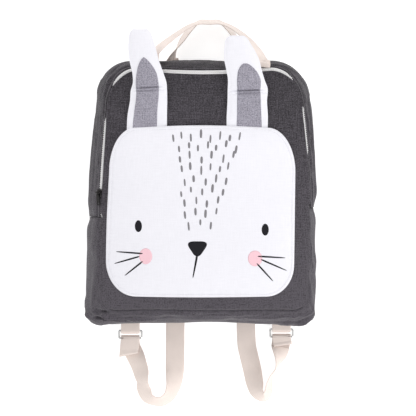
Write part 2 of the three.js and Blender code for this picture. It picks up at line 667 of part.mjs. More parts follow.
// A fold of webbing round one bar of a ring: in under the bar, up through the slot and back over it.
function foldStations(ring, side, reach, turnOut) {
  const barY = ring.y - side * ringPitch / 2;
  const facing = [side, 0];
  const arc = foldAngles.map((angle) => ({
    x: ring.x, y: barY + side * foldRadius * Math.cos(angle * degrees),
    z: ringCentreHeight + foldRadius * Math.sin(angle * degrees), tilt: 0, facing,
  }));
  const over = flapShares.map((share) => ({
    x: ring.x + turnOut * reach * share, y: barY - side * reach * share,
    z: ringCentreHeight + foldRadius * (1 - flapSag * share), tilt: 0, facing,
  }));
  return [...arc, ...over];
}
function strapStations(side, route, spreadOut, ring) {
  const legX = strapCentreX + side * strapLegHalfGap;
  const free = smoothStations(route.map(({ out, down, tilt }) => ({
    x: legX + side * spreadOut * out, y: bottomEdge - strapDrop * down, z: restHeight(tilt), tilt,
  })), stationSteps);
  for (const row of free) row.z = restHeight(row.tilt);
  const approach = ringApproach.map((away) => ({
    x: ring.x, y: ring.y - ringPitch / 2 - away, z: webbingWall / 2, tilt: 0, facing: [1, 0],
  }));
  const start = { ...free[0], y: strapAnchor };
  return [start, ...free, ...approach, ...foldStations(ring, 1, flapLength, ring.lean)];
}
const rings = {
  left: {
    x: strapCentreX - strapLegHalfGap - strapSpreadLeft + ringShiftLeft,
    y: bottomEdge - ringDropLeft,
    lean: -flapLean,
  },
  right: {
    x: strapCentreX + strapLegHalfGap + strapSpreadRight,
    y: bottomEdge - ringDropRight,
    lean: flapLean,
  },
};

// The short tab that ties a ring to the bag's bottom seam, folded round the ring's upper bar.
const tabLiftUnder = 0.2;
const tabLiftOver = 0.4;
function tabStations(ring) {
  const folded = foldStations(ring, -1, 0, 0).slice(0, foldAngles.length);
  const near = bottomEdge + tabInset;
  const facing = [-1, 0];
  const under = { x: ring.x, y: near, z: webbingWall / 2 + tabLiftUnder, tilt: 0, facing };
  const over = { x: ring.x, y: near, z: ringCentreHeight + foldRadius + tabLiftOver, tilt: 0, facing };
  return [under, ...folded, over];
}

// A flat piece of an even thickness. The counts are segments of a rounded corner and of a half circle, and
// sides of a pin and of a knuckle.
const cornerSegments = 3;
const roundSegments = 5;
const pinSides = 8;
const knuckleSides = 12;
function slab(shape, depth, curveSegments) {
  return new THREE.ExtrudeGeometry(shape, { depth, bevelEnabled: false, curveSegments });
}

// A flat metal ring with one slot.
function ringGeometry(ring) {
  const wide = webbingWidth + 2 * (ringSideClearance + ringBar);
  const tall = ringSlot + 2 * ringBar;
  const plate = roundedRectangle(wide, tall, ringCorner);
  plate.holes.push(roundedRectangle(wide - 2 * ringBar, ringSlot, ringSlotCorner));
  const geometry = slab(plate, ringBar, cornerSegments);
  geometry.translate(ring.x, ring.y, ringCentreHeight - ringBar / 2);
  return geometry;
}
function roundedRectangle(wide, tall, radius) {
  const shape = new THREE.Shape();
  const [x, y] = [wide / 2, tall / 2];
  shape.moveTo(-x + radius, -y);
  shape.lineTo(x - radius, -y).absarc(x - radius, -y + radius, radius, -Math.PI / 2, 0);
  shape.lineTo(x, y - radius).absarc(x - radius, y - radius, radius, 0, Math.PI / 2);
  shape.lineTo(-x + radius, y).absarc(-x + radius, y - radius, radius, Math.PI / 2, Math.PI);
  shape.lineTo(-x, -y + radius).absarc(-x + radius, -y + radius, radius, Math.PI, 1.5 * Math.PI);
  return shape;
}

// Joining and cutting closed geometries.
function toSolid(geometry) {
  const bare = new THREE.BufferGeometry();
  bare.setAttribute('position', geometry.attributes.position);
  if (geometry.index) bare.setIndex(geometry.index);
  const merged = mergeVertices(bare, mergeReach);
  return new wasm.Manifold(new wasm.Mesh({
    numProp: 3, vertProperties: Float32Array.from(merged.attributes.position.array),
    triVerts: Uint32Array.from(merged.index.array),
  }));
}
function fromSolid(solid) {
  const mesh = solid.getMesh();
  const geometry = new THREE.BufferGeometry();
  geometry.setAttribute('position', new THREE.BufferAttribute(mesh.vertProperties, 3));
  geometry.setIndex(Array.from(mesh.triVerts));
  geometry.computeVertexNormals();
  return geometry;
}

// The zip's slider and pull in their own frame: X across the zip, Y up the bag along it, Z off the bag.
const pinHeight = zipSliderWall + zipPinRise;
const knuckleRadius = zipPinRadius + pullClearance + knuckleWall;
const knuckleWidth = zipSliderWidth - 2 * (zipLugWall + pullClearance);
function barAcross(radius, width, sides) {
  const bar = new THREE.CylinderGeometry(radius, radius, width, sides);
  bar.rotateZ(Math.PI / 2);
  bar.translate(0, 0, pinHeight);
  return bar;
}
function sliderGeometry() {
  const outline = roundedRectangle(zipSliderWidth, zipSliderLength, zipSliderCorner);
  let solid = toSolid(slab(outline, zipSliderWall, cornerSegments));
  const lugTop = pinHeight + zipPinRadius + zipLugTop;
  const lugFoot = zipSliderWall / 2;
  for (const side of [-1, 1]) {
    const lug = new THREE.BoxGeometry(zipLugWall, zipLugLength, lugTop - lugFoot);
    lug.translate(side * (zipSliderWidth - zipLugWall) / 2, 0, (lugTop + lugFoot) / 2);
    solid = solid.add(toSolid(lug));
  }
  return fromSolid(solid.add(toSolid(barAcross(zipPinRadius, zipSliderWidth - zipLugWall, pinSides))));
}
function pullGeometry() {
  const plate = slab(pullPlate(pullLength - knuckleRadius), pullWall, roundSegments);
  plate.translate(0, 0, pinHeight - pullWall / 2);
  const knuckle = toSolid(barAcross(knuckleRadius, knuckleWidth, knuckleSides));
  const bore = toSolid(barAcross(zipPinRadius + pullClearance, 2 * knuckleWidth, knuckleSides));
  const pull = fromSolid(toSolid(plate).add(knuckle).subtract(bore));
  pull.translate(0, 0, -pinHeight).rotateX(pullDroop * degrees).translate(0, 0, pinHeight);
  return pull;
}
function pullPlate(length) {
  const shape = new THREE.Shape();
  const [neck, end] = [knuckleWidth / 2, pullEndRadius];
  shape.moveTo(neck, -zipPinRadius);
  shape.lineTo(-neck, -zipPinRadius).lineTo(-end, -pullTaperShare * length);
  shape.lineTo(-end, -length).absarc(0, -length, end, Math.PI, 2 * Math.PI);
  shape.lineTo(end, -pullTaperShare * length);
  const hole = new THREE.Path();
  hole.absarc(0, -length, pullHoleShare * end, 0, 2 * Math.PI, true);
  shape.holes.push(hole);
  return shape;
}
// The slider's place: astride the zip's coil on the left side, a little above the zip's closed end.
const sliderAround = 6.43;
function sliderFrame() {
  const across = mix(zipEdge(sliderAround), 2, 0.5);
  const place = skin(sliderAround, across);
  const off = wallNormal(sliderAround, across);
  const ahead = skin(sliderAround - nudge, across);
  const along = ahead.sub(skin(sliderAround + nudge, across)).normalize();
  const side = along.clone().cross(off).normalize();
  const frame = new THREE.Matrix4().makeBasis(side, off.clone().cross(side).normalize(), off);
  frame.setPosition(place.addScaledVector(off, zipCoilHeight + pieceGap));
  return frame;
}

// Materials
const canvas = { color: 0x454147, roughness: 0.92, metalness: 0 };
const cotton = { color: 0xf5f4fb, roughness: 0.9, metalness: 0 };
const greyCloth = { color: 0x9c99a5, roughness: 0.9, metalness: 0 };
const webbing = { color: 0xe8ded4, roughness: 0.85, metalness: 0 };
const zipCloth = { color: 0xe7e6e5, roughness: 0.8, metalness: 0 };
const steel = { color: 0xb9bdbd, roughness: 0.3, metalness: 1 };
const darkMetal = { color: 0x4a4744, roughness: 0.35, metalness: 1 };

const bag = new THREE.Group();
function addPiece(name, geometry, material, frame = null) {
  const mesh = new THREE.Mesh(geometry, new THREE.MeshStandardMaterial(material));
  mesh.name = name;
  if (frame) mesh.applyMatrix4(frame);
  bag.add(mesh);
}
addPiece('front_panel', frontPanelGeometry(), canvas);
addPiece('back_panel', backPanelGeometry(), canvas);
addPiece('gusset_upper', upperGussetGeometry(), canvas);
addPiece('gusset_lower', lowerGussetGeometry(), canvas);
addPiece('zip', zipGeometry(), zipCloth);
addPiece('face_pocket', pocketGeometry(), cotton);
for (const side of ['left', 'right']) {
  addPiece(`ear_${side}`, earGeometry(ears[side]), cotton);
  addPiece(`ear_patch_${side}`, earPatchGeometry(ears[side]), greyCloth);
}
const ribbons = {
  handle_front: handleStations(frontHandleHalf, handleFrontSpan, handleRise),
  handle_back: handleStations(backHandleHalf, handleBackSpan, handleRise + handleBackExtra),
  strap_left: strapStations(-1, leftStrapRoute, strapSpreadLeft, rings.left),
  strap_right: strapStations(1, rightStrapRoute, strapSpreadRight, rings.right),
};
for (const [name, stations] of Object.entries(ribbons)) addPiece(name, ribbonGeometry(stations), webbing);
for (const side of ['left', 'right']) {
  addPiece(`strap_tab_${side}`, ribbonGeometry(tabStations(rings[side])), webbing);
  addPiece(`strap_ring_${side}`, ringGeometry(rings[side]), steel);
}
addPiece('zip_slider', sliderGeometry(), darkMetal, sliderFrame());
addPiece('zip_pull', pullGeometry(), darkMetal, sliderFrame());

// The origin is the middle of the base of the whole thing as it lies.
const whole = new THREE.Box3().setFromObject(bag, true);
bag.position.set(-(whole.min.x + whole.max.x) / 2, -(whole.min.y + whole.max.y) / 2, -whole.min.z);
bag.userData.pullPin = { frame: sliderFrame().toArray(), height: pinHeight };

export default bag;
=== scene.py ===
"""Looks of a child's rabbit backpack that lies on its back, with its straps spread on the floor.

Shapes are worked out in millimetres from the middle of the bag's widest outline, with +Y towards the bag's
top and +Z out of its face, and are put into the frame in metres.
"""
import math

import bmesh
import bpy
import numpy as np
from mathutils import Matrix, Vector


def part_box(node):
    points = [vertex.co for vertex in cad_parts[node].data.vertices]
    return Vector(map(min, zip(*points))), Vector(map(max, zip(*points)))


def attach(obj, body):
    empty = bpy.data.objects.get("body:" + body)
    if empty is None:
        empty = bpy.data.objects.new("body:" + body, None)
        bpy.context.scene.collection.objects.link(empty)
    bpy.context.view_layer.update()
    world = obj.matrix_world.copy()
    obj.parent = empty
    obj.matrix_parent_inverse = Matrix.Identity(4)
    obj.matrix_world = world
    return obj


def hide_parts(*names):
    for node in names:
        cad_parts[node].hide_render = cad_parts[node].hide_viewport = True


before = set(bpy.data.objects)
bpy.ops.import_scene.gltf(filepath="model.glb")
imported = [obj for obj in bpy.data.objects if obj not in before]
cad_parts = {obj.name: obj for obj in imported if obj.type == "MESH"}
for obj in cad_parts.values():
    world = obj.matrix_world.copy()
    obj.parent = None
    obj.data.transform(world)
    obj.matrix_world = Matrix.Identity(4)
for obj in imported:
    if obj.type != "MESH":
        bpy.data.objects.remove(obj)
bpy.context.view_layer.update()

bl_info = {
    "name": "Rabbit Backpack",
    "version": (1, 0, 0),
    "blender": (4, 5, 0),
    "location": "View3D > Sidebar > Backpack",
    "description": "Builds a child's rabbit backpack around its fixed frame",
    "category": "Add Mesh",
}

MM = 0.001
STRETCHES = 8
# Half the step of every central difference, and the least length that a vector is divided by
DIFFERENCE, LEAST_LENGTH = 0.02, 1e-9
# Millimetres within which two points of a mesh are one
MERGE_DISTANCE = 0.001

# Sizes that the bag's solids have, in millimetres
BODY_WIDTH, BODY_HEIGHT, BODY_DEPTH = 258.0, 296.0, 84.0
GIRTH_RISE, BACK_RISE = 30.0, 7.0
PANEL_DROP_WIDE, PANEL_DROP_TALL = 15.0, 16.0
CANVAS_WALL, PIECE_GAP = 1.6, 0.3
ZIP_TAPE_WIDTH, ZIP_COIL_HEIGHT, ZIP_TAPE_WALL = 6.5, 0.9, 0.9
PANEL_LEFT, PANEL_RIGHT = -0.434, 0.465
PANEL_CENTRE = (0.5 * (PANEL_LEFT + PANEL_RIGHT) * BODY_WIDTH, -1.0)
POCKET_MARGIN, POCKET_OFFSET = 23.0, (-5.2, -20.5)
POCKET_WIDTH = (PANEL_RIGHT - PANEL_LEFT) * BODY_WIDTH - POCKET_MARGIN
POCKET_HEIGHT = 189.0
POCKET_CENTRE = (PANEL_CENTRE[0] + POCKET_OFFSET[0], PANEL_CENTRE[1] + POCKET_OFFSET[1])
POCKET_WALL, POCKET_FULLNESS, POCKET_MOUTH = 1.4, 3.0, 2.0
EAR_LENGTH, EAR_WIDTH, EAR_ROOT_WALL, EAR_PADDING = 116.0, 46.0, 1.4, 2.2
EAR_LIFT, EAR_DROOP = 5.5, 5.0
WEBBING_WIDTH, WEBBING_WALL = 21.0, 1.6
STRAP_SPREAD = {"left": 52.9, "right": 40.0}
STRAP_CENTRE_X, STRAP_LEG_HALF_GAP, STRAP_ANCHOR = 10.3, 40.0, 128.0
HANDLE_RISE, HANDLE_CENTRE_X = 48.0, 9.0
HANDLE_SPAN = {"front": 122.0, "back": 84.0}
HANDLE_LEAN = {"front": 7.5, "back": 1.5}
BACK_HANDLE_EXTRA = 4
RING_BAR, RING_SLOT, RING_SIDE_CLEARANCE = 2.4, 6.2, 1.1
FLAP_LENGTH = 19.0
WIDEST_ACROSS, BACK_LEAN, FRONT_LEAN = 1.42, 75.0, 62.0
NOTCH_LEFT, NOTCH_RIGHT = 6.56, 2.49

FOLD_SLACK = 0.45
FOLD_RADIUS = RING_BAR / 2 + PIECE_GAP + WEBBING_WALL / 2 + FOLD_SLACK
RING_HEIGHT = FOLD_RADIUS + WEBBING_WALL / 2
BOTTOM_EDGE = -0.504 * BODY_HEIGHT
RING_PITCH = RING_SLOT + RING_BAR
# How far the rings lie below the bag, and how far the left one is drawn in
RING_DROP, RING_DRAWN_IN = {"left": 10.4, "right": 8.9}, 2.2
RING_PLACE = {
    "left": (STRAP_CENTRE_X - STRAP_LEG_HALF_GAP - STRAP_SPREAD["left"] + RING_DRAWN_IN,
             BOTTOM_EDGE - RING_DROP["left"]),
    "right": (STRAP_CENTRE_X + STRAP_LEG_HALF_GAP + STRAP_SPREAD["right"], BOTTOM_EDGE - RING_DROP["right"]),
}

# Outline of each girth in shares of its width and height. Left and right are the places of a side's low and
# high ends and its bow, low and high are a place and a bow, and corners go round from the lower right one.
BODY = dict(size=(BODY_WIDTH, BODY_HEIGHT), centre=(0, 0))
GIRTHS = {
    "back": dict(
        BODY, left=(-0.457, -0.415, 0.008), right=(0.457, 0.426, 0.008), low=(-0.466, -0.004),
        high=(0.466, 0), corners=((0.07, 0.054), (0.155, 0.135), (0.145, 0.135), (0.07, 0.06))),
    "widest": dict(
        BODY, left=(-0.504, -0.456, 0.0136), right=(0.494, 0.469, 0.0136), low=(-0.502, -0.009),
        high=(0.5, 0.002), corners=((0.093, 0.054), (0.17, 0.142), (0.155, 0.142), (0.078, 0.061))),
    "front": dict(
        BODY, left=(PANEL_LEFT, -0.4, 0.008), right=(PANEL_RIGHT, 0.43, 0.0155), low=(-0.449, -0.004),
        high=(0.456, -0.0135), corners=((0.062, 0.047), (0.132, 0.155), (0.132, 0.155), (0.054, 0.047))),
    "pocket": dict(
        size=(POCKET_WIDTH, POCKET_HEIGHT), centre=POCKET_CENTRE,
        left=(-0.5, -0.482, 0.003), right=(0.496, 0.502, 0), low=(-0.493, 0.004), high=(0.493, 0.013),
        corners=((0.147, 0.186), (0.147, 0.256), (0.137, 0.256), (0.158, 0.209))),
}
# Ways from the four corners towards the middle, and outwards from the four sides, each from the bottom on
CORNER_WAYS = ((-1, 1), (-1, -1), (1, -1), (1, 1))
SIDE_WAYS = ((0, -1), (1, 0), (0, 1), (-1, 0))

# Folds in the canvas: place around and across, reach around and across, and height as a share of the depth
FOLDS = (
    (6.56, 1.62, 0.06, 0.5, -0.018), (2.49, 1.62, 0.06, 0.5, -0.018),
    (2.75, 1.6, 0.22, 0.07, 0.018), (2.75, 1.8, 0.22, 0.06, 0.014),
    (7.5, 1.72, 0.45, 0.16, -0.05), (7.75, 1.9, 0.3, 0.06, 0.02),
    (1.2, 1.8, 0.45, 0.09, -0.028), (1.35, 1.55, 0.4, 0.09, 0.024),
    (4.5, 2.12, 0.4, 0.08, -0.014),
)

# Ear outlines: share along the ear, then left and right edges as shares of the ear's width
EARS = {
    "left": dict(x=POCKET_CENTRE[0] - 0.281 * POCKET_WIDTH, reach=1.0, seed=41, outline=(
        (0, -0.49, 0.48), (0.18, -0.47, 0.48), (0.32, -0.41, 0.485), (0.42, -0.39, 0.48),
        (0.48, -0.345, 0.47), (0.56, -0.35, 0.41), (0.69, -0.42, 0.29), (0.82, -0.455, 0.205),
        (0.9, -0.45, 0.145), (0.945, -0.435, 0.11), (0.975, -0.405, 0.07), (0.992, -0.37, 0.03),
        (1, -0.34, 0.0)), patch=( (0.02, -0.35, 0.23), (0.095, -0.34, 0.24), (0.23, -0.3, 0.25),
        (0.36, -0.26, 0.28), (0.48, -0.27, 0.275), (0.59, -0.245, 0.21), (0.653, -0.206, 0.115),
        (0.695, -0.155, 0.025), (0.718, -0.11, -0.04), (0.725, -0.085, -0.065))),
    "right": dict(x=POCKET_CENTRE[0] + 0.2465 * POCKET_WIDTH, reach=0.935, seed=42, outline=(
        (0, -0.49, 0.49), (0.18, -0.49, 0.5), (0.34, -0.47, 0.48), (0.46, -0.465, 0.495),
        (0.55, -0.46, 0.42), (0.65, -0.5, 0.35), (0.76, -0.55, 0.285), (0.86, -0.548, 0.17),
        (0.93, -0.535, 0.07), (0.96, -0.515, 0.03), (0.98, -0.48, -0.01), (0.993, -0.43, -0.06),
        (1, -0.39, -0.1)), patch=( (0.02, -0.26, 0.355), (0.1, -0.25, 0.35), (0.25, -0.24, 0.335),
        (0.43, -0.235, 0.32), (0.581, -0.235, 0.3), (0.648, -0.205, 0.2), (0.685, -0.155, 0.11),
        (0.705, -0.11, 0.04), (0.712, -0.08, 0.0))),
}
EAR_ROOT_Y = POCKET_CENTRE[1] + 0.4577 * POCKET_HEIGHT
EAR_CREASE = 0.44

# Half a carry handle: share of half its span, share of its rise, height as a share of the bag's depth, tilt
HANDLE_HALF = {
    "front": ((0.93, -0.18, "zip", 0), (0.935, -0.05, 0.775, 34), (0.91, 0.1, 0.735, 60),
              (0.83, 0.27, 0.69, 67), (0.715, 0.44, 0.65, 70), (0.57, 0.61, 0.61, 73), (0.4, 0.76, 0.59, 76),
              (0.2, 0.855, 0.58, 78)),
    "back": ((1, -0.28, "back", 0), (1, -0.19, "back", 0), (1, -0.07, 0.07, -34), (0.98, 0.05, 0.125, -64),
             (0.9, 0.22, 0.14, -86), (0.74, 0.46, 0.15, -106), (0.52, 0.7, 0.155, -106),
             (0.26, 0.87, 0.16, -101)),
}
# The photo's middle column and row, the point of the bag they show, and millimetres per pixel on the floor
PHOTO_MIDDLE, PHOTO_AIM, FLOOR_SCALE = (208.0, 208.0), (7.28, -16.8), 1.13
# Free part of a shoulder strap as the photo shows it: column and row of its middle line, tilt
STRAP_ROUTE = {
    "left": ((175.2, 328, 0), (175.2, 348, 0), (175, 364, 4), (174.6, 376, 22), (173, 387, 42),
             (169, 396, 52), (162, 401, 56), (154, 400.5, 58), (147.5, 396.5, 48), (144, 389, 42),
             (142.7, 381.5, 52), (141.2, 372, 34), (138, 362, 24), (134.6, 354, 8), (131, 347.5, 0)),
    "right": ((246, 328, 0), (246.8, 345, 0), (249.3, 357, -4), (252.3, 370, -10), (254.8, 383, -24),
              (258, 393, -48), (264, 397, -60), (268, 392, -64), (269, 384, -70), (271.3, 376, -79),
              (275.6, 368.5, -86), (278.2, 361, -68), (279.6, 353, -38), (280.4, 346.5, -10)),
}
# A strap's free end: share of the flap's length, lean to the right and slant of its cut
FLAP = {"left": (1.0, -0.1, -0.3), "right": (0.5, 0.15, 0.0)}


def frame_shift():
    """Millimetres from the bag's own zero to the frame's: where a ring stands in the frame, less its place
    here."""
    low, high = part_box("strap_ring_left")
    middle = [(a + b) / 2 / MM for a, b in zip(low, high)]
    return np.array([middle[0] - RING_PLACE["left"][0], middle[1] - RING_PLACE["left"][1],
                     middle[2] - RING_HEIGHT])


SHIFT = frame_shift()


# Numbers and curves

def smooth(value):
    """Smooth step: 3t squared less 2t cubed, with t held between 0 and 1."""
    t = np.clip(value, 0.0, 1.0)
    return t * t * (3 - 2 * t)


def cosine_shares(count):
    """Shares from 0 to 1, closest together at both ends: half of one less a cosine."""
    return (1 - np.cos(np.linspace(0, math.pi, count))) / 2


def curve(at, xs, ys):
    """Cubic through the points (xs, ys), each slope the mean of its neighbours' rise over their run."""
    xs, ys, at = np.asarray(xs, float), np.asarray(ys, float), np.asarray(at, float)
    slopes = np.gradient(ys, xs)
    k = np.clip(np.searchsorted(xs, at, side="right") - 1, 0, len(xs) - 2)
    run = xs[k + 1] - xs[k]
    t = (at - xs[k]) / run
    return ((2 * t ** 3 - 3 * t ** 2 + 1) * ys[k] + (t ** 3 - 2 * t ** 2 + t) * run * slopes[k]
            + (3 * t ** 2 - 2 * t ** 3) * ys[k + 1] + (t ** 3 - t ** 2) * run * slopes[k + 1])


RIPPLE_WAVES, RIPPLE_SPREAD = 6, (0.7, 1.6)


def ripple(x, y, wavelength, seed):
    """Soft unevenness between -1 and 1: the mean of sine waves whose directions and phases come from the
    seed."""
    rng = np.random.default_rng(seed)
    total = np.zeros(np.broadcast(x, y).shape)
    for _ in range(RIPPLE_WAVES):
        angle, phase = rng.uniform(0, 2 * math.pi, 2)
        length = wavelength * rng.uniform(*RIPPLE_SPREAD)
        total += np.sin(2 * math.pi * (x * math.cos(angle) + y * math.sin(angle)) / length + phase)
    return total / RIPPLE_WAVES


def bell(value, width, middle=0.0):
    """Bell curve: the exponential of minus the squared distance from its middle over its width."""
    return np.exp(-((value - middle) / width) ** 2)


def raised(distance, height, reach, middle=0.0):
    """A ridge, or a dent where its height is negative, at a distance from an edge."""
    return height * bell(distance, reach, middle)


def unit(vectors):
    """Vectors over their lengths."""
    return vectors / np.maximum(np.linalg.norm(vectors, axis=-1, keepdims=True), LEAST_LENGTH)


def circle(angle):
    """Points of the unit circle at angles in radians."""
    return np.stack([np.cos(angle), np.sin(angle)], axis=-1)


def squared_off(value, power):
    """A sine or cosine raised to a power with its sign kept, which squares off a round shape."""
    return np.sign(value) * np.abs(value) ** power


def full_turn(count):
    """Angles of a full turn, the last one short of the first."""
    return np.arange(count) * 2 * math.pi / count


def running_length(points):
    """Length along a run of points, from 0 at its first."""
    return np.concatenate([[0], np.cumsum(np.linalg.norm(np.diff(points, axis=0), axis=-1))])


def read_between(values, column, row):
    """Values of a grid read between its points, by the shares of the way to the next column and row."""
    i = np.minimum(column.astype(int), values.shape[0] - 2)
    j = np.minimum(row.astype(int), values.shape[1] - 2)
    s, t = (part.reshape(part.shape + (1,) * (values.ndim - 2)) for part in (column - i, row - j))
    return ((values[i, j] * (1 - s) + values[i + 1, j] * s) * (1 - t)
            + (values[i, j + 1] * (1 - s) + values[i + 1, j + 1] * s) * t)


# Slow unevenness of each flat cloth: height and wavelength in millimetres, seed
UNEVEN = {
    "front_panel": ((0.55, 75, 3), (0.2, 22, 4)),
    "back_panel": ((0.22, 60, 8),),
    "pocket": ((0.85, 85, 21), (0.3, 30, 22)),
}


def unevenness(name, x, y):
    """Sum of a cloth's ripples, each times its height."""
    return sum(height * ripple(x, y, wavelength, seed) for height, wavelength, seed in UNEVEN[name])


# The bag's outside: how far the panels' curves reach, as shares of the body, and the powers they fall by

FRONT_REACH, FRONT_POWERS = (0.434, 0.45), (2.6, 2.8)
BACK_REACH, BACK_POWER = (0.45, 0.466), 7


def front_height(x, y):
    """Height of the front panel: a crown that falls by powers of the share of the way to its seams."""
    wide = np.abs(x - PANEL_CENTRE[0]) / (FRONT_REACH[0] * BODY_WIDTH)
    tall = np.abs(y - PANEL_CENTRE[1]) / (FRONT_REACH[1] * BODY_HEIGHT)
    return BODY_DEPTH - PANEL_DROP_WIDE * wide ** FRONT_POWERS[0] - PANEL_DROP_TALL * tall ** FRONT_POWERS[1]


def back_height(x, y):
    """Height of the back panel: flat on the webbing, curling up by the seventh power near its seam."""
    share = np.maximum(np.abs(x) / (BACK_REACH[0] * BODY_WIDTH), np.abs(y) / (BACK_REACH[1] * BODY_HEIGHT))
    return WEBBING_WALL + PIECE_GAP + BACK_RISE * np.clip(share ** BACK_POWER, 0, 1)


def girth_point(name, around):
    """Points of a girth: bowed sides joined by quarter ellipses, eight stretches from the bottom side."""
    girth = GIRTHS[name]
    turn = np.mod(np.asarray(around, float), STRETCHES)
    stretch, share = np.floor(turn).astype(int), turn - np.floor(turn)
    left, right, low, high = girth["left"], girth["right"], girth["low"], girth["high"]
    size = np.array(girth["corners"])
    far = np.array([(right[0], low[0]), (right[1], high[0]), (left[1], high[0]), (left[0], low[0])])
    middle = far + size * np.array(CORNER_WAYS)
    corner = (np.maximum(stretch, 1) - 1) // 2

    def on_corner(k, degrees):
        return middle[k] + size[k] * circle(np.radians(degrees))

    bent = on_corner(corner, corner * 90 - 90 + 90 * share)
    side = stretch // 2
    before = (side + 3) % 4
    start, end = on_corner(before, before * 90.0), on_corner(side, side * 90.0 - 90)
    bow = np.array([low[1], right[2], high[1], left[2]])[side] * np.sin(math.pi * share)
    straight = start + (end - start) * share[..., None] + bow[..., None] * np.array(SIDE_WAYS)[side]
    point = np.where((stretch % 2 == 1)[..., None], bent, straight)
    return np.array(girth["centre"]) + point * np.array(girth["size"])


def plain_skin(around, across):
    """Outside before folds: back panel to 1, two elliptical arcs through the widest line to 2, front panel
    to 3."""
    around, across = np.broadcast_arrays(np.asarray(around, float), np.asarray(across, float))
    back, wide, front = (girth_point(name, around) for name in ("back", "widest", "front"))
    under = back * np.clip(across, 0, 1)[..., None]
    over = front + (np.array(PANEL_CENTRE) - front) * np.clip(across - 2, 0, 1)[..., None]
    below = across < WIDEST_ACROSS
    seam = np.where(below[..., None], back, front)
    height = np.where(below, back_height(back[..., 0], back[..., 1]),
                      front_height(front[..., 0], front[..., 1]))
    lean = np.radians(np.where(below, BACK_LEAN, FRONT_LEAN))
    share = np.where(below, (WIDEST_ACROSS - across) / (WIDEST_ACROSS - 1),
                     (across - WIDEST_ACROSS) / (2 - WIDEST_ACROSS))
    inward = (1 - np.cos(lean * share)) / (1 - np.cos(lean))
    upward = np.sin(lean * share) / np.sin(lean)
    band = wide + (seam - wide) * inward[..., None]
    band_z = GIRTH_RISE + (height - GIRTH_RISE) * upward
    flat = np.where((across <= 1)[..., None], under, np.where((across >= 2)[..., None], over, band))
    z = np.where(across <= 1, back_height(under[..., 0], under[..., 1]),
                 np.where(across >= 2, front_height(over[..., 0], over[..., 1]), band_z))
    return np.concatenate([flat, z[..., None]], axis=-1)


def surface_normal(surface, around, across):
    """Outward normal: the cross product of central differences around and across."""
    step = DIFFERENCE
    around_way = surface(around + step, across) - surface(around - step, across)
    across_way = surface(around, across + step) - surface(around, across - step)
    return unit(np.cross(around_way, across_way))


def fold_height(around, across):
    """Sum of the folds: each is its height times a bell over the distance around and across."""
    total = np.zeros(np.broadcast(around, across).shape)
    for place, row, reach_around, reach_across, height in FOLDS:
        turn = np.mod(np.abs(around - place), STRETCHES)
        turn = np.minimum(turn, STRETCHES - turn)
        total += height * BODY_DEPTH * np.exp(-(turn / reach_around) ** 2
                                              - ((across - row) / reach_across) ** 2)
    return total


def folded_skin(around, across):
    """Outside with its folds, each pushed along the plain skin's normal."""
    normal = surface_normal(plain_skin, around, across)
    return plain_skin(around, across) + normal * fold_height(around, across)[..., None]


# Places across that the rounded seam mixes, counted in reaches, with their weights, and the reach beside
# the zip, at the sides and at the bottom
SOFT_TAPS = ((-2, 1), (-1, 4), (0, 6), (1, 4), (2, 1))
SOFT_ZIPPED, SOFT_SIDE, SOFT_BOTTOM = 0.012, 0.075, 0.022
# Where the rounding starts below each notch and at both ends of the bottom, each with its run
SOFT_NOTCH, SOFT_NOTCH_RUN, SOFT_LOW_LEFT, SOFT_LOW_RIGHT, SOFT_LOW_RUN = 0.02, 0.12, 1.6, 1.55, 0.5
# Where the middle of the side band, the pole of the back and the pole of the front lie across, and how far
# beside a seam the skin is measured
BAND_MIDDLE, BACK_POLE, FRONT_POLE, SEAM_PROBE = 1.5, 0.05, 2.95, 0.03


def softness(around):
    """How far the front seam is rounded: widely at the sides below the notches, little at the bottom and
    the zip."""
    turn = np.mod(np.asarray(around, float) - NOTCH_LEFT, STRETCHES)
    end = NOTCH_RIGHT + STRETCHES - NOTCH_LEFT
    below = (smooth((turn - SOFT_NOTCH) / SOFT_NOTCH_RUN)
             * smooth((end - SOFT_NOTCH - turn) / SOFT_NOTCH_RUN))
    bottom = (smooth((turn - SOFT_LOW_LEFT) / SOFT_LOW_RUN)
              * smooth((end - SOFT_LOW_RIGHT - turn) / SOFT_LOW_RUN))
    return SOFT_ZIPPED + below * (SOFT_SIDE - SOFT_ZIPPED) + bottom * (SOFT_BOTTOM - SOFT_SIDE)


def skin(around, across):
    """Outside with its front seam rounded: a weighted mean of five places across, the same for both
    pieces."""
    around, across = np.broadcast_arrays(np.asarray(around, float), np.asarray(across, float))
    reach = softness(around) * smooth((across - BAND_MIDDLE) / 0.2) * smooth((2.9 - across) / 0.3)
    total = sum(weight * folded_skin(around, across + tap * reach) for tap, weight in SOFT_TAPS)
    return total / sum(weight for _, weight in SOFT_TAPS)


def wall_normal(around, across):
    """Normal for a wall: at a seam it is the one shared by both pieces, and at the poles it is upright."""
    seam = np.round(across)
    at_seam = ((seam == 1) | (seam == 2)) & (np.abs(across - seam) < DIFFERENCE)
    normal = surface_normal(skin, around, np.where(at_seam, seam, across))
    upright = np.where(across > BAND_MIDDLE, 1.0, -1.0)[..., None] * np.array([0, 0, 1.0])
    return np.where(((across < BACK_POLE) | (across > FRONT_POLE))[..., None], upright, normal)


def across_step(around, across, length):
    """How far across goes for a length in millimetres."""
    span = np.linalg.norm(skin(around, across + DIFFERENCE) - skin(around, across - DIFFERENCE), axis=-1)
    return length * 2 * DIFFERENCE / span


def zip_edge(around):
    """The place across where the zip tape meets the upper side band."""
    return 2 - across_step(around, np.full(np.shape(around), 2 - SEAM_PROBE), ZIP_TAPE_WIDTH)


# Meshes

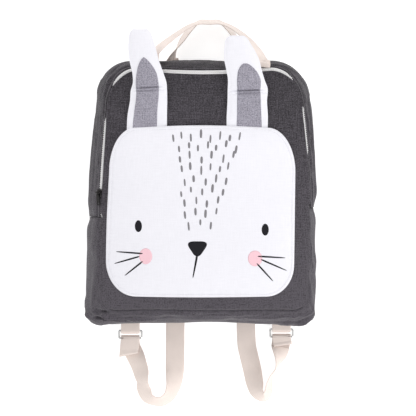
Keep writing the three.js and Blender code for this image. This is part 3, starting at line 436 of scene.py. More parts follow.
def put_mesh(name, points, quads, uvs, material, caps=()):
    """A mesh object in the frame from points in the bag's millimetres, with one UV for each point, in
    metres. Doubles at poles are merged and the faces are turned out by the sign of the volume."""
    mesh = bpy.data.meshes.new(name)
    spots = (np.asarray(points, float).reshape(-1, 3) + SHIFT) * MM
    mesh.from_pydata(spots.tolist(), [], quads.tolist() + list(caps))
    layer = mesh.uv_layers.new(name="cloth")
    loops = np.empty(len(mesh.loops), dtype=np.int64)
    mesh.loops.foreach_get("vertex_index", loops)
    layer.data.foreach_set("uv", (np.asarray(uvs, float).reshape(-1, 2)[loops] * MM).ravel())
    mesh.polygons.foreach_set("use_smooth", np.ones(len(mesh.polygons), dtype=bool))
    mesh.validate()
    mesh.update()
    mesh.materials.append(material)
    piece = bpy.data.objects.new(name, mesh)
    bpy.context.scene.collection.objects.link(piece)
    work = bmesh.new()
    work.from_mesh(mesh)
    bmesh.ops.remove_doubles(work, verts=work.verts, dist=MERGE_DISTANCE * MM)
    if work.calc_volume(signed=True) < 0:
        bmesh.ops.reverse_faces(work, faces=work.faces)
    work.to_mesh(mesh)
    work.free()
    return piece


def quads_of(*corners):
    """Quads from four arrays of point numbers, one for each corner."""
    return np.stack(corners, axis=-1).reshape(-1, 4)


def strip_quads(near, ahead):
    """Quads between two arrays of point numbers, one step apart, from each row to the next."""
    return quads_of(near[:, :-1], ahead[:, :-1], ahead[:, 1:], near[:, 1:])


def wall_faces(columns, rows, loop=False):
    """Quads of a closed wall: the outer grid, the inner grid turned round, and the rims that join them."""
    index = np.arange(columns * rows).reshape(columns, rows)
    other = index + columns * rows
    span = np.arange(columns if loop else columns - 1)
    ahead = (span + 1) % columns
    near, far = index[span], index[ahead]
    near_in, far_in = other[span], other[ahead]
    faces = [
        strip_quads(near, far),
        quads_of(near_in[:, :-1], near_in[:, 1:], far_in[:, 1:], far_in[:, :-1]),
        quads_of(far[:, 0], near[:, 0], near_in[:, 0], far_in[:, 0]),
        quads_of(near[:, -1], far[:, -1], far_in[:, -1], near_in[:, -1]),
    ]
    if not loop:
        faces.append(quads_of(index[0, :-1], index[0, 1:], other[0, 1:], other[0, :-1]))
        faces.append(quads_of(index[-1, 1:], index[-1, :-1], other[-1, :-1], other[-1, 1:]))
    return np.concatenate(faces)


def put_wall(name, outer, inner, uvs, material, loop=False):
    """A closed wall between two grids of points, both with the same UVs."""
    points = np.concatenate([outer.reshape(-1, 3), inner.reshape(-1, 3)])
    both = np.concatenate([uvs.reshape(-1, 2), uvs.reshape(-1, 2)])
    return put_mesh(name, points, wall_faces(*outer.shape[:2], loop), both, material)


def grid_lengths(points):
    """UVs in millimetres for a grid: the running length down the middle row and the middle column."""
    along = np.linalg.norm(np.diff(points, axis=0), axis=-1)
    over = np.linalg.norm(np.diff(points, axis=1), axis=-1)
    u = np.concatenate([[0], np.cumsum(along[:, along.shape[1] // 2])])
    v = np.concatenate([np.zeros((len(points), 1)), np.cumsum(over, axis=1)], axis=1)
    v = v - v[:, v.shape[1] // 2][:, None]
    return np.stack([np.broadcast_to(u[:, None], v.shape), v], axis=-1)


# Cloth simulation: frames, the pull of gravity in metres per second squared, the share of the grid's
# columns and rows that the sheet has, its fewest rows, and how the cloth behaves

SETTLE_FRAMES, GRAVITY = 22, 9.81
SHEET_THINNING, SHEET_LEAST_ROWS = 2, 8
CLOTH = dict(quality=5, mass=0.25, air_damping=3.0, tension_stiffness=40.0, compression_stiffness=40.0,
             shear_stiffness=20.0, bending_stiffness=1.5)


def thinned(count, wanted):
    """Numbers of a grid's columns or rows, spread evenly from the first to the last."""
    return np.unique(np.round(np.linspace(0, count - 1, wanted)).astype(int))


def settle(name, grid, loop, pinned, growth, push):
    """Where a thin sheet of cloth comes to rest: it starts as the grid, held at its pinned points, a little
    larger than its place, and is pushed by a pull along Z. The answer is the way each point moved, in
    millimetres."""
    columns, rows = grid.shape[:2]
    pick = thinned(columns, columns // SHEET_THINNING)
    pick_rows = thinned(rows, max(rows // SHEET_THINNING, SHEET_LEAST_ROWS))
    coarse = grid[pick][:, pick_rows]
    held = pinned[pick][:, pick_rows].ravel()
    index = np.arange(held.size).reshape(coarse.shape[:2])
    ahead = np.roll(index, -1, axis=0) if loop else index[1:]
    near = index if loop else index[:-1]
    mesh = bpy.data.meshes.new(name)
    mesh.from_pydata((coarse.reshape(-1, 3) * MM).tolist(), [], strip_quads(near, ahead).tolist())
    sheet = bpy.data.objects.new(name, mesh)
    scene = bpy.context.scene
    scene.collection.objects.link(sheet)
    sheet.vertex_groups.new(name="held").add(np.nonzero(held)[0].tolist(), 1.0, "REPLACE")
    cloth = sheet.modifiers.new("cloth", "CLOTH")
    for key, value in CLOTH.items():
        setattr(cloth.settings, key, value)
    cloth.settings.vertex_group_mass, cloth.settings.shrink_min = "held", -growth
    cloth.collision_settings.use_collision = False
    cloth.point_cache.frame_start, cloth.point_cache.frame_end = 1, SETTLE_FRAMES
    old = tuple(scene.gravity)
    scene.gravity = (0, 0, push * GRAVITY)
    for frame_number in range(1, SETTLE_FRAMES + 1):
        scene.frame_set(frame_number)
    evaluated = sheet.evaluated_get(bpy.context.evaluated_depsgraph_get())
    settled = evaluated.to_mesh()
    spots = np.empty(len(settled.vertices) * 3)
    settled.vertices.foreach_get("co", spots)
    moved = spots.reshape(coarse.shape) / MM - coarse
    evaluated.to_mesh_clear()
    bpy.data.objects.remove(sheet)
    bpy.data.meshes.remove(mesh)
    scene.gravity = old
    scene.frame_set(1)
    column = np.interp(np.arange(columns), pick, np.arange(len(pick)))
    row = np.interp(np.arange(rows), pick_rows, np.arange(len(pick_rows)))
    return read_between(moved, column[:, None], row[None])


def soft_limit(value, most):
    """Value that levels off at a limit."""
    return most * np.tanh(value / most)


# Colours and node groups

def linear(red, green, blue):
    """An sRGB colour out of 255 as a linear colour."""
    values = np.array([red, green, blue]) / 255
    curved = ((values + 0.055) / 1.055) ** 2.4
    return tuple(np.where(values <= 0.04045, values / 12.92, curved).tolist()) + (1.0,)


def shade(colour, factor):
    """A colour times a factor, no brighter than white."""
    return tuple(min(channel * factor, 1.0) for channel in colour[:3]) + (1.0,)


def plug(tree, socket, value):
    """Set an input to a value, or link it if the value is another node's socket."""
    if isinstance(value, bpy.types.NodeSocket):
        tree.links.new(value, socket)
    else:
        socket.default_value = value


def node(tree, kind, group=None, **inputs):
    """A new node with its inputs, by name, set to values or linked to sockets. A group node takes its
    group."""
    made = tree.nodes.new(kind)
    if group is not None:
        made.node_tree = group
    for key, value in inputs.items():
        plug(tree, made.inputs[key.replace("_", " ")], value)
    return made


def maths(tree, operation, *values):
    """The result of a maths node."""
    made = tree.nodes.new("ShaderNodeMath")
    made.operation = operation
    for socket, value in zip(made.inputs, values):
        plug(tree, socket, value)
    return made.outputs[0]


# Places of a mix node's share and two colours among its inputs, and of its colour among its outputs
MIX_INPUTS, MIX_RESULT = (0, 6, 7), 2


def blend_colour(tree, *values):
    """The colour that lies a share of the way from one colour to another."""
    made = tree.nodes.new("ShaderNodeMix")
    made.data_type = "RGBA"
    for place, value in zip(MIX_INPUTS, values):
        plug(tree, made.inputs[place], value)
    return made.outputs[MIX_RESULT]


def noise(tree, vector, scale, detail, stretch=None):
    """Noise at a place, which may be stretched by its own factor in each direction first."""
    if stretch is not None:
        vector = node(tree, "ShaderNodeMapping", Vector=vector, Scale=stretch).outputs[0]
    return node(tree, "ShaderNodeTexNoise", Vector=vector, Scale=scale, Detail=detail).outputs[0]


def ridges(tree, value, factor):
    """Rounded ridges: the size of the sine of a value times a factor."""
    return maths(tree, "ABSOLUTE", maths(tree, "SINE", maths(tree, "MULTIPLY", value, factor)))


def new_group(name, inputs, outputs):
    """A shader node group with named float or vector sockets."""
    tree = bpy.data.node_groups.new(name, "ShaderNodeTree")
    kinds = {"float": "NodeSocketFloat", "vector": "NodeSocketVector"}
    for label, kind, value in inputs:
        socket = tree.interface.new_socket(label, in_out="INPUT", socket_type=kinds[kind])
        if value is not None:
            socket.default_value = value
    for label in outputs:
        tree.interface.new_socket(label, in_out="OUTPUT", socket_type=kinds["float"])
    return tree, tree.nodes.new("NodeGroupInput"), tree.nodes.new("NodeGroupOutput")


# How much higher a thread stands where it is on top, and its height where it isn't
THREAD_LIFT, THREAD_LOW = 0.6, 0.3
# Slubs along a thread and across threads, per metre
SLUB_LONG, SLUB_FINE = 75.0, 900.0


def weave_group():
    """Plain weave: rounded warp and weft threads, each on top in every other cell, with painted shade that
    makes each thread darker where it lies low, and the yarn's slubs."""
    tree, given, out = new_group("Plain weave", [
        ("Vector", "vector", None), ("Warp per metre", "float", 1300.0), ("Weft per metre", "float", 1300.0),
        ("Slub", "float", 0.3)], ["Height", "Tint"])
    place, slub_share = given.outputs["Vector"], given.outputs["Slub"]
    parts = node(tree, "ShaderNodeSeparateXYZ", Vector=place)
    warp = maths(tree, "MULTIPLY", parts.outputs[0], given.outputs["Warp per metre"])
    weft = maths(tree, "MULTIPLY", parts.outputs[1], given.outputs["Weft per metre"])
    cell = maths(tree, "ADD", maths(tree, "FLOOR", warp), maths(tree, "FLOOR", weft))
    over = maths(tree, "ABSOLUTE", maths(tree, "MODULO", cell, 2.0))
    under = maths(tree, "SUBTRACT", 1.0, over)
    raised = [maths(tree, "MULTIPLY", ridges(tree, thread, math.pi),
                    maths(tree, "MULTIPLY_ADD", on_top, THREAD_LIFT, THREAD_LOW))
              for thread, on_top in ((warp, over), (weft, under))]
    height = maths(tree, "ADD", *raised)
    slubs = [noise(tree, place, 1.0, 2.0, stretch)
             for stretch in ((SLUB_FINE, SLUB_LONG, 1.0), (SLUB_LONG, SLUB_FINE, 1.0))]
    slub = maths(tree, "SUBTRACT", maths(tree, "ADD", *slubs), 1.0)
    # Painted shade: a thread is darker where it lies low in the weave
    shaded = maths(tree, "MULTIPLY_ADD", height, 0.35, 0.4)
    for name, base in (("Height", height), ("Tint", shaded)):
        tree.links.new(maths(tree, "MULTIPLY_ADD", slub, slub_share, base), out.inputs[name])
    return tree


def wear_group():
    """Slow changes of shade over a hand's width, as cloth has from washing and handling."""
    sockets = [("Vector", "vector", None), ("Scale", "float", 14.0)]
    tree, given, out = new_group("Cloth shading", sockets, ["Mask"])
    tree.links.new(noise(tree, given.outputs["Vector"], given.outputs["Scale"], 4.0), out.inputs["Mask"])
    return tree


def shader(name, roughness, metallic=0.0, sheen=0.0, specular=0.5):
    """A material with a Principled shader whose constant values stand on its own sockets."""
    made = bpy.data.materials.new(name)
    made.use_nodes = True
    tree = made.node_tree
    principled = next(item for item in tree.nodes if item.type == "BSDF_PRINCIPLED")
    for key, value in (("Roughness", roughness), ("Metallic", metallic), ("Sheen Weight", sheen),
                       ("Specular IOR Level", specular)):
        principled.inputs[key].default_value = value
    return made, tree, principled


def cloth_places(tree):
    """The sockets that give a place on the cloth and a place on the bag."""
    cloth = node(tree, "ShaderNodeUVMap")
    cloth.uv_map = "cloth"
    return cloth.outputs[0], node(tree, "ShaderNodeTexCoord").outputs["Object"]


def painted_light_ramp(tree, share, spot, fade):
    """Painted light and shade: a share of the lighter shade that grows by the given amount for each metre
    towards the bottom of the bag.
    """
    height = node(tree, "ShaderNodeSeparateXYZ", Vector=spot).outputs[1]
    return maths(tree, "MULTIPLY_ADD", height, -fade, share)


def put_bump(tree, principled, strength, depth, height):
    """Bump from a height whose full depth is in millimetres."""
    bump = node(tree, "ShaderNodeBump", Strength=strength, Distance=depth * MM, Height=height)
    tree.links.new(bump.outputs[0], principled.inputs["Normal"])


# Patches of wear, flecks and webbing wear per metre, and the roughness of cloth: its least and its spread
CLOTH_WEAR, CLOTH_FLECKS, WEBBING_WEAR = 16.0, 700.0, 30.0
ROUGH_LEAST, ROUGH_SPREAD = 0.84, 0.1


def cloth_material(name, dark, light, threads, depth, slub, sheen, patchy=0.35, speckle=0.0, fade=0.0):
    """Woven cloth: two shades mixed by the weave, with painted shade where its threads lie low, moved slowly
    over the piece and speckled from thread to thread, with the weave as bump. A ramp of painted light and
    shade per metre makes it lighter towards the bottom of the bag."""
    made, tree, principled = shader(name, 0.92, sheen=sheen, specular=0.2)
    cloth, spot = cloth_places(tree)
    weave = node(tree, "ShaderNodeGroup", GROUPS["weave"], Vector=cloth, Warp_per_metre=threads[0],
                 Weft_per_metre=threads[1], Slub=slub)
    wear = node(tree, "ShaderNodeGroup", GROUPS["wear"], Vector=spot, Scale=CLOTH_WEAR).outputs[0]
    flecks = noise(tree, cloth, CLOTH_FLECKS, 2.0)
    # The weave's slubs and its painted shade between the threads
    share = weave.outputs["Tint"]
    for source, reach in ((wear, patchy), (flecks, speckle)):
        share = maths(tree, "MULTIPLY_ADD", maths(tree, "SUBTRACT", source, 0.5), reach, share)
    # Painted light and shade: lighter towards the bottom of the bag, darker towards its top
    share = painted_light_ramp(tree, share, spot, fade)
    tree.links.new(blend_colour(tree, share, dark, light), principled.inputs["Base Color"])
    rough = maths(tree, "MULTIPLY_ADD", wear, ROUGH_SPREAD, ROUGH_LEAST)
    tree.links.new(rough, principled.inputs["Roughness"])
    put_bump(tree, principled, 0.6, depth, weave.outputs["Height"])
    return made


# Ribs across webbing and picks along it, per metre
RIBS, PICKS = 950, 880


def ribbed_material(name, dark, light, fade=0.0):
    """Webbing: lengthwise ribs crossed by picks, with painted shade that makes the valleys darker."""
    made, tree, principled = shader(name, 0.8, sheen=0.2, specular=0.25)
    cloth, spot = cloth_places(tree)
    parts = node(tree, "ShaderNodeSeparateXYZ", Vector=cloth)
    rib = ridges(tree, parts.outputs[1], math.pi * RIBS)
    pick = ridges(tree, parts.outputs[0], math.pi * PICKS)
    height = maths(tree, "MULTIPLY_ADD", pick, 0.65, maths(tree, "MULTIPLY", rib, 0.4))
    wear = node(tree, "ShaderNodeGroup", GROUPS["wear"], Vector=spot, Scale=WEBBING_WEAR).outputs[0]
    # Painted shade in the valleys of the ribs, plus patches of tone that differs at random
    share = maths(tree, "MULTIPLY_ADD", height, 0.6, maths(tree, "MULTIPLY", wear, 0.6))
    # Painted light and shade: lighter towards the bottom of the bag, darker towards its top
    share = painted_light_ramp(tree, share, spot, fade)
    tree.links.new(blend_colour(tree, share, dark, light), principled.inputs["Base Color"])
    put_bump(tree, principled, 0.55, 0.3, height)
    return made


def metal_material(name, colour, dull, roughness):
    """Plated metal: a bright colour dulled in soft spots, with fine scratches in its bump."""
    made, tree, principled = shader(name, roughness, metallic=1.0)
    spot = node(tree, "ShaderNodeTexCoord").outputs["Object"]
    patches = noise(tree, spot, 420.0, 5.0)
    tree.links.new(blend_colour(tree, patches, colour, dull), principled.inputs["Base Color"])
    rough = maths(tree, "MULTIPLY_ADD", patches, 0.25, roughness - 0.1)
    tree.links.new(rough, principled.inputs["Roughness"])
    put_bump(tree, principled, 0.25, 0.05, noise(tree, spot, 1.0, 3.0, (300.0, 2500.0, 900.0)))
    return made


GROUPS = {}
MATERIALS = {}
# Finishes by key: the panel's colour, the factors of its dark and light shade, and what the maker of the
# finish takes: threads per metre along and across, depth of the weave in millimetres, and shares of the
# other effects, among them a ramp of painted light and shade per metre down the bag
WOVEN = {
    # Canvas: painted shade towards the top of the bag and painted light towards its bottom
    "canvas": ("canvas", 0.26, 1.45, dict(
        name="Charcoal canvas", threads=(1250.0, 1250.0), depth=0.4, slub=1.1, sheen=0.22, speckle=2.4,
        fade=1.7)),
    # Cotton: painted light towards the top of the bag and painted shade towards its bottom
    "cotton": ("cotton", 0.88, 1.07, dict(
        name="White cotton", threads=(1900.0, 1500.0), depth=0.16, slub=0.4, sheen=0.05, patchy=0.2,
        fade=-0.9)),
    "grey": ("patch", 0.42, 1.38, dict(
        name="Grey melange", threads=(1700.0, 1700.0), depth=0.2, slub=0.6, sheen=0.1, speckle=1.9)),
    "ink": ("ink", 0.35, 0.77, dict(
        name="Black print", threads=(1900.0, 1500.0), depth=0.12, slub=0.4, sheen=0.0)),
    "dash_ink": ("dash", 0.85, 1.15, dict(
        name="Grey print", threads=(1900.0, 1500.0), depth=0.12, slub=0.5, sheen=0.0)),
    "cheek": ("cheek", 0.86, 0.96, dict(
        name="Pink print", threads=(1900.0, 1500.0), depth=0.12, slub=0.5, sheen=0.0)),
}
RIBBED = {
    # Webbing: painted shade on the handles at the top and painted light on the straps at the bottom
    "webbing": ("webbing", 0.58, 1.03, dict(name="Cream webbing", fade=0.4)),
    "zip_tape": ("zip_tape", 0.8, 1.05, dict(name="Zip tape")),
    "zip_coil": ("zip_tape", 0.75, 1.0, dict(name="Zip coil")),
    "thread": ("cotton", 0.8, 1.0, dict(name="Sewing thread")),
}
# Metals by key: name, bright colour, dull colour, roughness
METALS = {
    "ring": ("Bright nickel", (232, 233, 234), (205, 204, 202), 0.25),
    "zip_metal": ("Dark antique metal", (74, 72, 72), (28, 27, 27), 0.24),
}


def make_materials(colours):
    """Every finish of the bag, from the colours in the panel."""
    GROUPS["weave"], GROUPS["wear"] = weave_group(), wear_group()
    for maker, table in ((cloth_material, WOVEN), (ribbed_material, RIBBED)):
        for key, (source, dark, light, looks) in table.items():
            colour = getattr(colours, source)
            MATERIALS[key] = maker(dark=shade(colour, dark), light=shade(colour, light), **looks)
    for key, (name, bright, dull, roughness) in METALS.items():
        MATERIALS[key] = metal_material(name, linear(*bright), linear(*dull), roughness)


# Rows and relief of the canvas

SAMPLES = (60, 16, 70, 28, 50, 28, 70, 16)
ALL_AROUND = np.concatenate([stretch + np.arange(count) / count for stretch, count in enumerate(SAMPLES)])
# Millimetres of seam for one stretch around, how strongly rows crowd at a band's edges, half the gap
# between the bands at a notch, and between a band and the panel where both are sewn together
SEAM_PER_STRETCH, EDGE_CROWDING, NOTCH_GAP, SEWN_GAP = 110, 0.48, 0.0012, 0.0003
# How far in from a seam the simulated sheet is held, and the least way around between a cut and a sample
HELD_RIM, CUT_CLEAR = 5, 0.004
# Sewn details: height in millimetres, reach, and distance of the middle from the edge
VALLEY, WELT, WELT_DROP = (-1.5, 1.3), (0.85, 2.2, 1.0), (-0.6, 0.45)
TOPSTITCH, PANEL_STITCH, BAND_STITCH = (-0.4, 0.7), 6.2, 4.0
# Puckers across a seam: pitch, how much the pitch sways and over what length, and reach
PUCKER_PITCH, PUCKER_SWAY, PUCKER_SWAY_LENGTH, PUCKER_REACH = 7.5, 1.7, 11, 6
# Heights of the puckers at each seam
PUCKERS = {"front_panel": 0.25, "back_panel": 0.2, "band_front": 0.35, "band_back": 0.3}
# Rows across each piece, and the powers by which the panels' rows crowd at their seams
PANEL_ROWS, BAND_ROWS = {"front": (64, 1.35), "back": (40, 1.25)}, {"upper": 56, "lower": 54}


def arounds_between(start, end):
    """Sample places around between two cuts, with the cuts themselves."""
    turns = np.concatenate([ALL_AROUND, ALL_AROUND + STRETCHES])
    inside = turns[(turns > start + CUT_CLEAR) & (turns < end - CUT_CLEAR)]
    return np.concatenate([[start], inside, [end]])


def seam_clear(around, seam, side):
    """The place across where a piece is cut, half the gap from its seam."""
    return seam + side * across_step(around, seam + side * SEAM_PROBE, PIECE_GAP / 2)


def between_rows(low, high, shares):
    """Places across for each column, at shares of the way from its low to its high end."""
    return low[:, None] + (high - low)[:, None] * shares[None]


def edge_shares(count):
    """Shares from 0 to 1 that crowd together at both ends: a mix of a straight line and a line less a
    sine."""
    t = np.linspace(0, 1, count)
    return (1 - EDGE_CROWDING) * t + EDGE_CROWDING * (t - np.sin(2 * math.pi * t) / (2 * math.pi))


def edge_distances(points):
    """Millimetres along each column of a grid from its first row and from its last row."""
    steps = np.linalg.norm(np.diff(points, axis=1), axis=-1)
    run = np.concatenate([np.zeros((len(points), 1)), np.cumsum(steps, axis=1)], axis=1)
    return run, run[:, -1:] - run


def seam_relief(distance, along, puckers):
    """Sewn edge: a narrow valley at the seam and puckers across it that die out over a finger's width."""
    waves = np.sin(2 * math.pi * along / PUCKER_PITCH + PUCKER_SWAY * np.sin(along / PUCKER_SWAY_LENGTH))
    return raised(distance, *VALLEY) + puckers * waves * bell(distance, PUCKER_REACH)


# How clearly the front seam shows at its least, and where it starts and ends to show round the bottom
VALLEY_LEAST, VALLEY_START, VALLEY_END, VALLEY_RUN = 0.04, 7.55, 1.6, 0.3


def valley_share(around):
    """How clearly the front seam shows: fully at the bottom, hardly at the sides."""
    turn = np.mod(np.asarray(around, float), STRETCHES)
    start, end = smooth((turn - VALLEY_START) / VALLEY_RUN), smooth((VALLEY_END - turn) / VALLEY_RUN)
    bottom = start + end * (turn < STRETCHES / 2)
    return VALLEY_LEAST + (1 - VALLEY_LEAST) * np.clip(bottom, 0, 1)


def zip_edge_relief(distance):
    """Turned-under edge beside the zip: a rolled welt that drops sharply at the tape."""
    return raised(distance, *WELT) + raised(distance, *WELT_DROP)


def topstitch_relief(distance, at):
    """A dent where a row of stitches pulls the cloth down."""
    return raised(distance, *TOPSTITCH, at)


def settled_rise(name, base, normal, loop, growth, push, most):
    """Millimetres that the cloth simulation moves the skin along its normal, with its rims held."""
    low, high = edge_distances(base)
    pinned = low < HELD_RIM if loop else (low < HELD_RIM) | (high < HELD_RIM)
    moved = settle(name, base, loop, pinned, growth, push)
    return soft_limit((moved * normal).sum(axis=-1), most)


def put_skin(name, arounds, across, wall, relief, material, loop, uvs=None, growth=0.0, push=0.0, most=1.0):
    """A wall of the bag: its outside is the skin raised by the relief and by the settled cloth along the
    shared normal, its inside is the skin less the wall."""
    around = np.broadcast_to(arounds[:, None], across.shape)
    base, normal = skin(around, across), wall_normal(around, across)
    lengths = grid_lengths(base) if uvs is None else uvs(base)
    rise = relief(around, across, base, lengths)
    if growth:
        drift = settled_rise(name + "_sheet", base, normal, loop, growth, push, most)
        rise = rise + drift * open_cloth(base)
    outer = base + normal * rise[..., None]
    inner = base + normal * (np.minimum(rise, 0) - wall)[..., None]
    return put_wall(name, outer, inner, lengths, material, loop)


# Run over which the cloth is freed beside the pocket and the ears, how far the ears' roots reach down over
# it, and the height above which the canvas is the front panel's
FREED_RUN, EAR_ROOT_REACH, PANEL_LEVEL = 8, 20, 60


def open_cloth(points):
    """1 where nothing lies on the canvas, falling to 0 under the pocket and the ears."""
    _, _, inside = pocket_place(points[..., 0], points[..., 1])
    clear = smooth((-inside - 1) / FREED_RUN)
    for ear in EARS.values():
        side = np.abs(points[..., 0] - ear["x"]) - EAR_WIDTH / 2
        below = EAR_ROOT_Y - EAR_ROOT_REACH - points[..., 1]
        clear = clear * smooth(np.maximum(side, below) / FREED_RUN)
    return np.where(points[..., 2] > PANEL_LEVEL, clear, 1.0)


def flat_uvs(points):
    """UVs of a flat panel: each point's place from above."""
    return points[..., :2]


# How far the canvas edges leave the zip open: place around, middle of the opening and half of it as shares
# of the tape's width
ZIP_OPENING = (
    (2.49, 0.5, 0.0), (2.74, 0.5, 0.0), (2.8, 0.5, 0.12), (2.96, 0.5, 0.16), (3.03, 0.5, 0.1),
    (3.1, 0.5, 0.0), (3.5, 0.48, 0.0), (3.58, 0.44, 0.14), (3.68, 0.42, 0.36), (3.85, 0.44, 0.42),
    (4.0, 0.46, 0.43), (4.25, 0.465, 0.455), (4.8, 0.465, 0.455), (5.0, 0.46, 0.42), (5.2, 0.42, 0.38),
    (5.42, 0.44, 0.34), (5.56, 0.48, 0.08), (5.62, 0.5, 0.0), (6.02, 0.5, 0.0), (6.08, 0.5, 0.16),
    (6.16, 0.5, 0.26), (6.36, 0.5, 0.28), (6.42, 0.5, 0.24), (6.46, 0.5, 0.0), (6.56, 0.5, 0.0),
)


def zip_opening(around):
    """The middle of the zip's opening and half of it, as shares of the tape's width."""
    table = np.array(ZIP_OPENING)
    return np.interp(around, table[:, 0], table[:, 1]), np.interp(around, table[:, 0], table[:, 2])


def zip_cover(around, side):
    """The place across where a canvas edge ends over the zip tape, on its low side (-1) or its high side
    (1)."""
    middle, half = zip_opening(around)
    edge = zip_edge(around)
    return edge + (2 - edge) * (middle + side * half)


# How deep the closed tape lies, the opening at which it starts to, and the tape's ridge: height and half
# width, unevenness, its wavelength, and how far it lies under the skin
ZIP_SINK, ZIP_SINK_START = 1.6, 0.1
RIDGE_HEIGHT, RIDGE_WIDTH, TAPE_UNEVEN, TAPE_WAVELENGTH, TAPE_DROP = 0.5, 1.3, 0.05, 9, 0.25


def zip_sunk(around):
    """Millimetres that the tape lies deeper where the canvas edges meet over it."""
    return ZIP_SINK * smooth(1 - zip_opening(around)[1] / ZIP_SINK_START)


# Way around over which the sewn seam turns into the zip
NOTCH_RUN = 0.04


def above_zip(around):
    """1 where the front seam is zipped, 0 where it is sewn."""
    return smooth((around - NOTCH_RIGHT) / NOTCH_RUN) * smooth((NOTCH_LEFT - around) / NOTCH_RUN)


def build_front_panel():
    """Front panel: the skin from the front seam to the crown, with a valley and puckers along the seam."""
    zipped = above_zip(ALL_AROUND)
    low = (1 - zipped) * (2.0 + SEWN_GAP) + zipped * zip_cover(ALL_AROUND, 1)
    count, power = PANEL_ROWS["front"]
    across = low[:, None] + (3 - low[:, None]) * (np.linspace(0, 1, count) ** power)[None]

    def relief(around, across, base, lengths):
        distance, _ = edge_distances(base)
        zipped = above_zip(around)
        welt = zip_edge_relief(distance) + topstitch_relief(distance, PANEL_STITCH)
        sewn = seam_relief(distance, around * SEAM_PER_STRETCH, PUCKERS["front_panel"])
        sewn = sewn * valley_share(around)
        broad = unevenness("front_panel", base[..., 0], base[..., 1])
        return zipped * welt + (1 - zipped) * sewn + broad * smooth(distance / 14)

    return put_skin("front_panel_cloth", ALL_AROUND, across, CANVAS_WALL, relief, MATERIALS["canvas"], True,
                    flat_uvs, growth=0.02, push=0.15, most=1.3)


# The most that the back panel rises towards the webbing under it
BACK_MOST = 0.12


def build_back_panel():
    """Back panel: the skin from the middle of the back to the back seam."""
    high = seam_clear(ALL_AROUND, 1, -1)
    count, power = PANEL_ROWS["back"]
    across = high[:, None] * (1 - (1 - np.linspace(0, 1, count)) ** power)[None]

    def relief(around, across, base, lengths):
        _, distance = edge_distances(base)
        sewn = seam_relief(distance, around * SEAM_PER_STRETCH, PUCKERS["back_panel"])
        return np.minimum(sewn + unevenness("back_panel", base[..., 0], base[..., 1]), BACK_MOST)

    return put_skin("back_panel_cloth", ALL_AROUND, across, CANVAS_WALL, relief, MATERIALS["canvas"], True,
                    flat_uvs)


# Creases of the side band: place around and across, reach around and across, height in millimetres, slant
CREASES = (
    (2.62, 1.42, 0.3, 0.03, -0.9, 0.1), (2.8, 1.5, 0.3, 0.03, 0.8, 0.05),
    (2.8, 1.66, 0.36, 0.028, 1.5, 0.02), (2.75, 1.74, 0.34, 0.024, -1.4, 0.03),
    (2.85, 1.83, 0.34, 0.026, 1.2, -0.02), (2.56, 1.6, 0.05, 0.12, 1.3, 0.5),
    (2.43, 1.6, 0.04, 0.18, 1.6, -0.5), (2.3, 1.72, 0.12, 0.05, 1.2, 0.6), (6.62, 1.5, 0.05, 0.18, 1.3, 0.4),
    (6.49, 1.6, 0.04, 0.18, 1.4, -0.5), (6.2, 1.6, 0.34, 0.03, 1.0, 0.06),
    (6.3, 1.75, 0.3, 0.028, -1.1, -0.05), (5.6, 1.82, 0.3, 0.03, 1.2, 0.12),
    (5.3, 1.7, 0.25, 0.035, -0.9, 0.2), (7.3, 1.5, 0.3, 0.035, 1.4, 0.1), (7.5, 1.8, 0.22, 0.035, 4.0, 0.35),
    (7.66, 1.7, 0.2, 0.035, -5.5, 0.35), (7.6, 1.93, 0.18, 0.03, -4.5, 0.2),
    (7.86, 1.86, 0.3, 0.035, 4.8, -0.14), (7.92, 1.76, 0.24, 0.028, -4.5, -0.12),
    (6.575, 1.3, 0.018, 0.5, -1.5, 0), (2.485, 1.3, 0.018, 0.5, -1.3, 0),
    (8.1, 1.72, 0.4, 0.028, -1.7, -0.1), (0.25, 1.8, 0.4, 0.05, 1.3, 0.08),
    (0.6, 1.66, 0.35, 0.04, -1.0, 0.1), (0.95, 1.86, 0.3, 0.03, 1.7, 0.1),
    (1.15, 1.72, 0.4, 0.035, -1.8, 0.12), (1.35, 1.62, 0.35, 0.04, 1.9, 0.1),
    (1.6, 1.8, 0.4, 0.035, 1.3, -0.15), (2.1, 1.55, 0.3, 0.04, -0.9, 0.1),
    (4.2, 1.55, 0.35, 0.05, -0.9, 0.1), (4.8, 1.7, 0.3, 0.05, 0.8, -0.1), (3.5, 1.7, 0.35, 0.04, 1.2, 0.15),
    (3.4, 1.5, 0.3, 0.05, -1.0, -0.1),
)


def crease_height(around, across):
    """Sum of the creases: bells over the distance around and, on a slanting line, across."""
    total = np.zeros(np.shape(around))
    for place, row, reach_around, reach_across, height, slant in CREASES:
        turn = np.mod(around - place + STRETCHES / 2, STRETCHES) - STRETCHES / 2
        line = across - row - slant * turn
        total += height * np.exp(-(turn / reach_around) ** 2 - (line / reach_across) ** 2)
    return total


def band_relief(around, across, base, lengths, zipped):
    """Side band: creases, broad unevenness, puckers at the back seam and a welt or a seam at the front."""
    low, high = edge_distances(base)
    along = lengths[..., 0]
    if zipped:
        front = zip_edge_relief(high) + topstitch_relief(high, BAND_STITCH)
    else:
        front = seam_relief(high, along, PUCKERS["band_front"]) * valley_share(around)
    fade = smooth(low / 7) * smooth(high / 6)
    broad = 0.6 * ripple(lengths[..., 0], 1.6 * lengths[..., 1], 60, 11)
    broad = broad + 0.22 * ripple(lengths[..., 0], lengths[..., 1], 17, 12)
    under = smooth((base[..., 2] - 4) / 10)
    back = seam_relief(low, along, PUCKERS["band_back"])
    return back + front + (crease_height(around, across) + broad) * fade * under


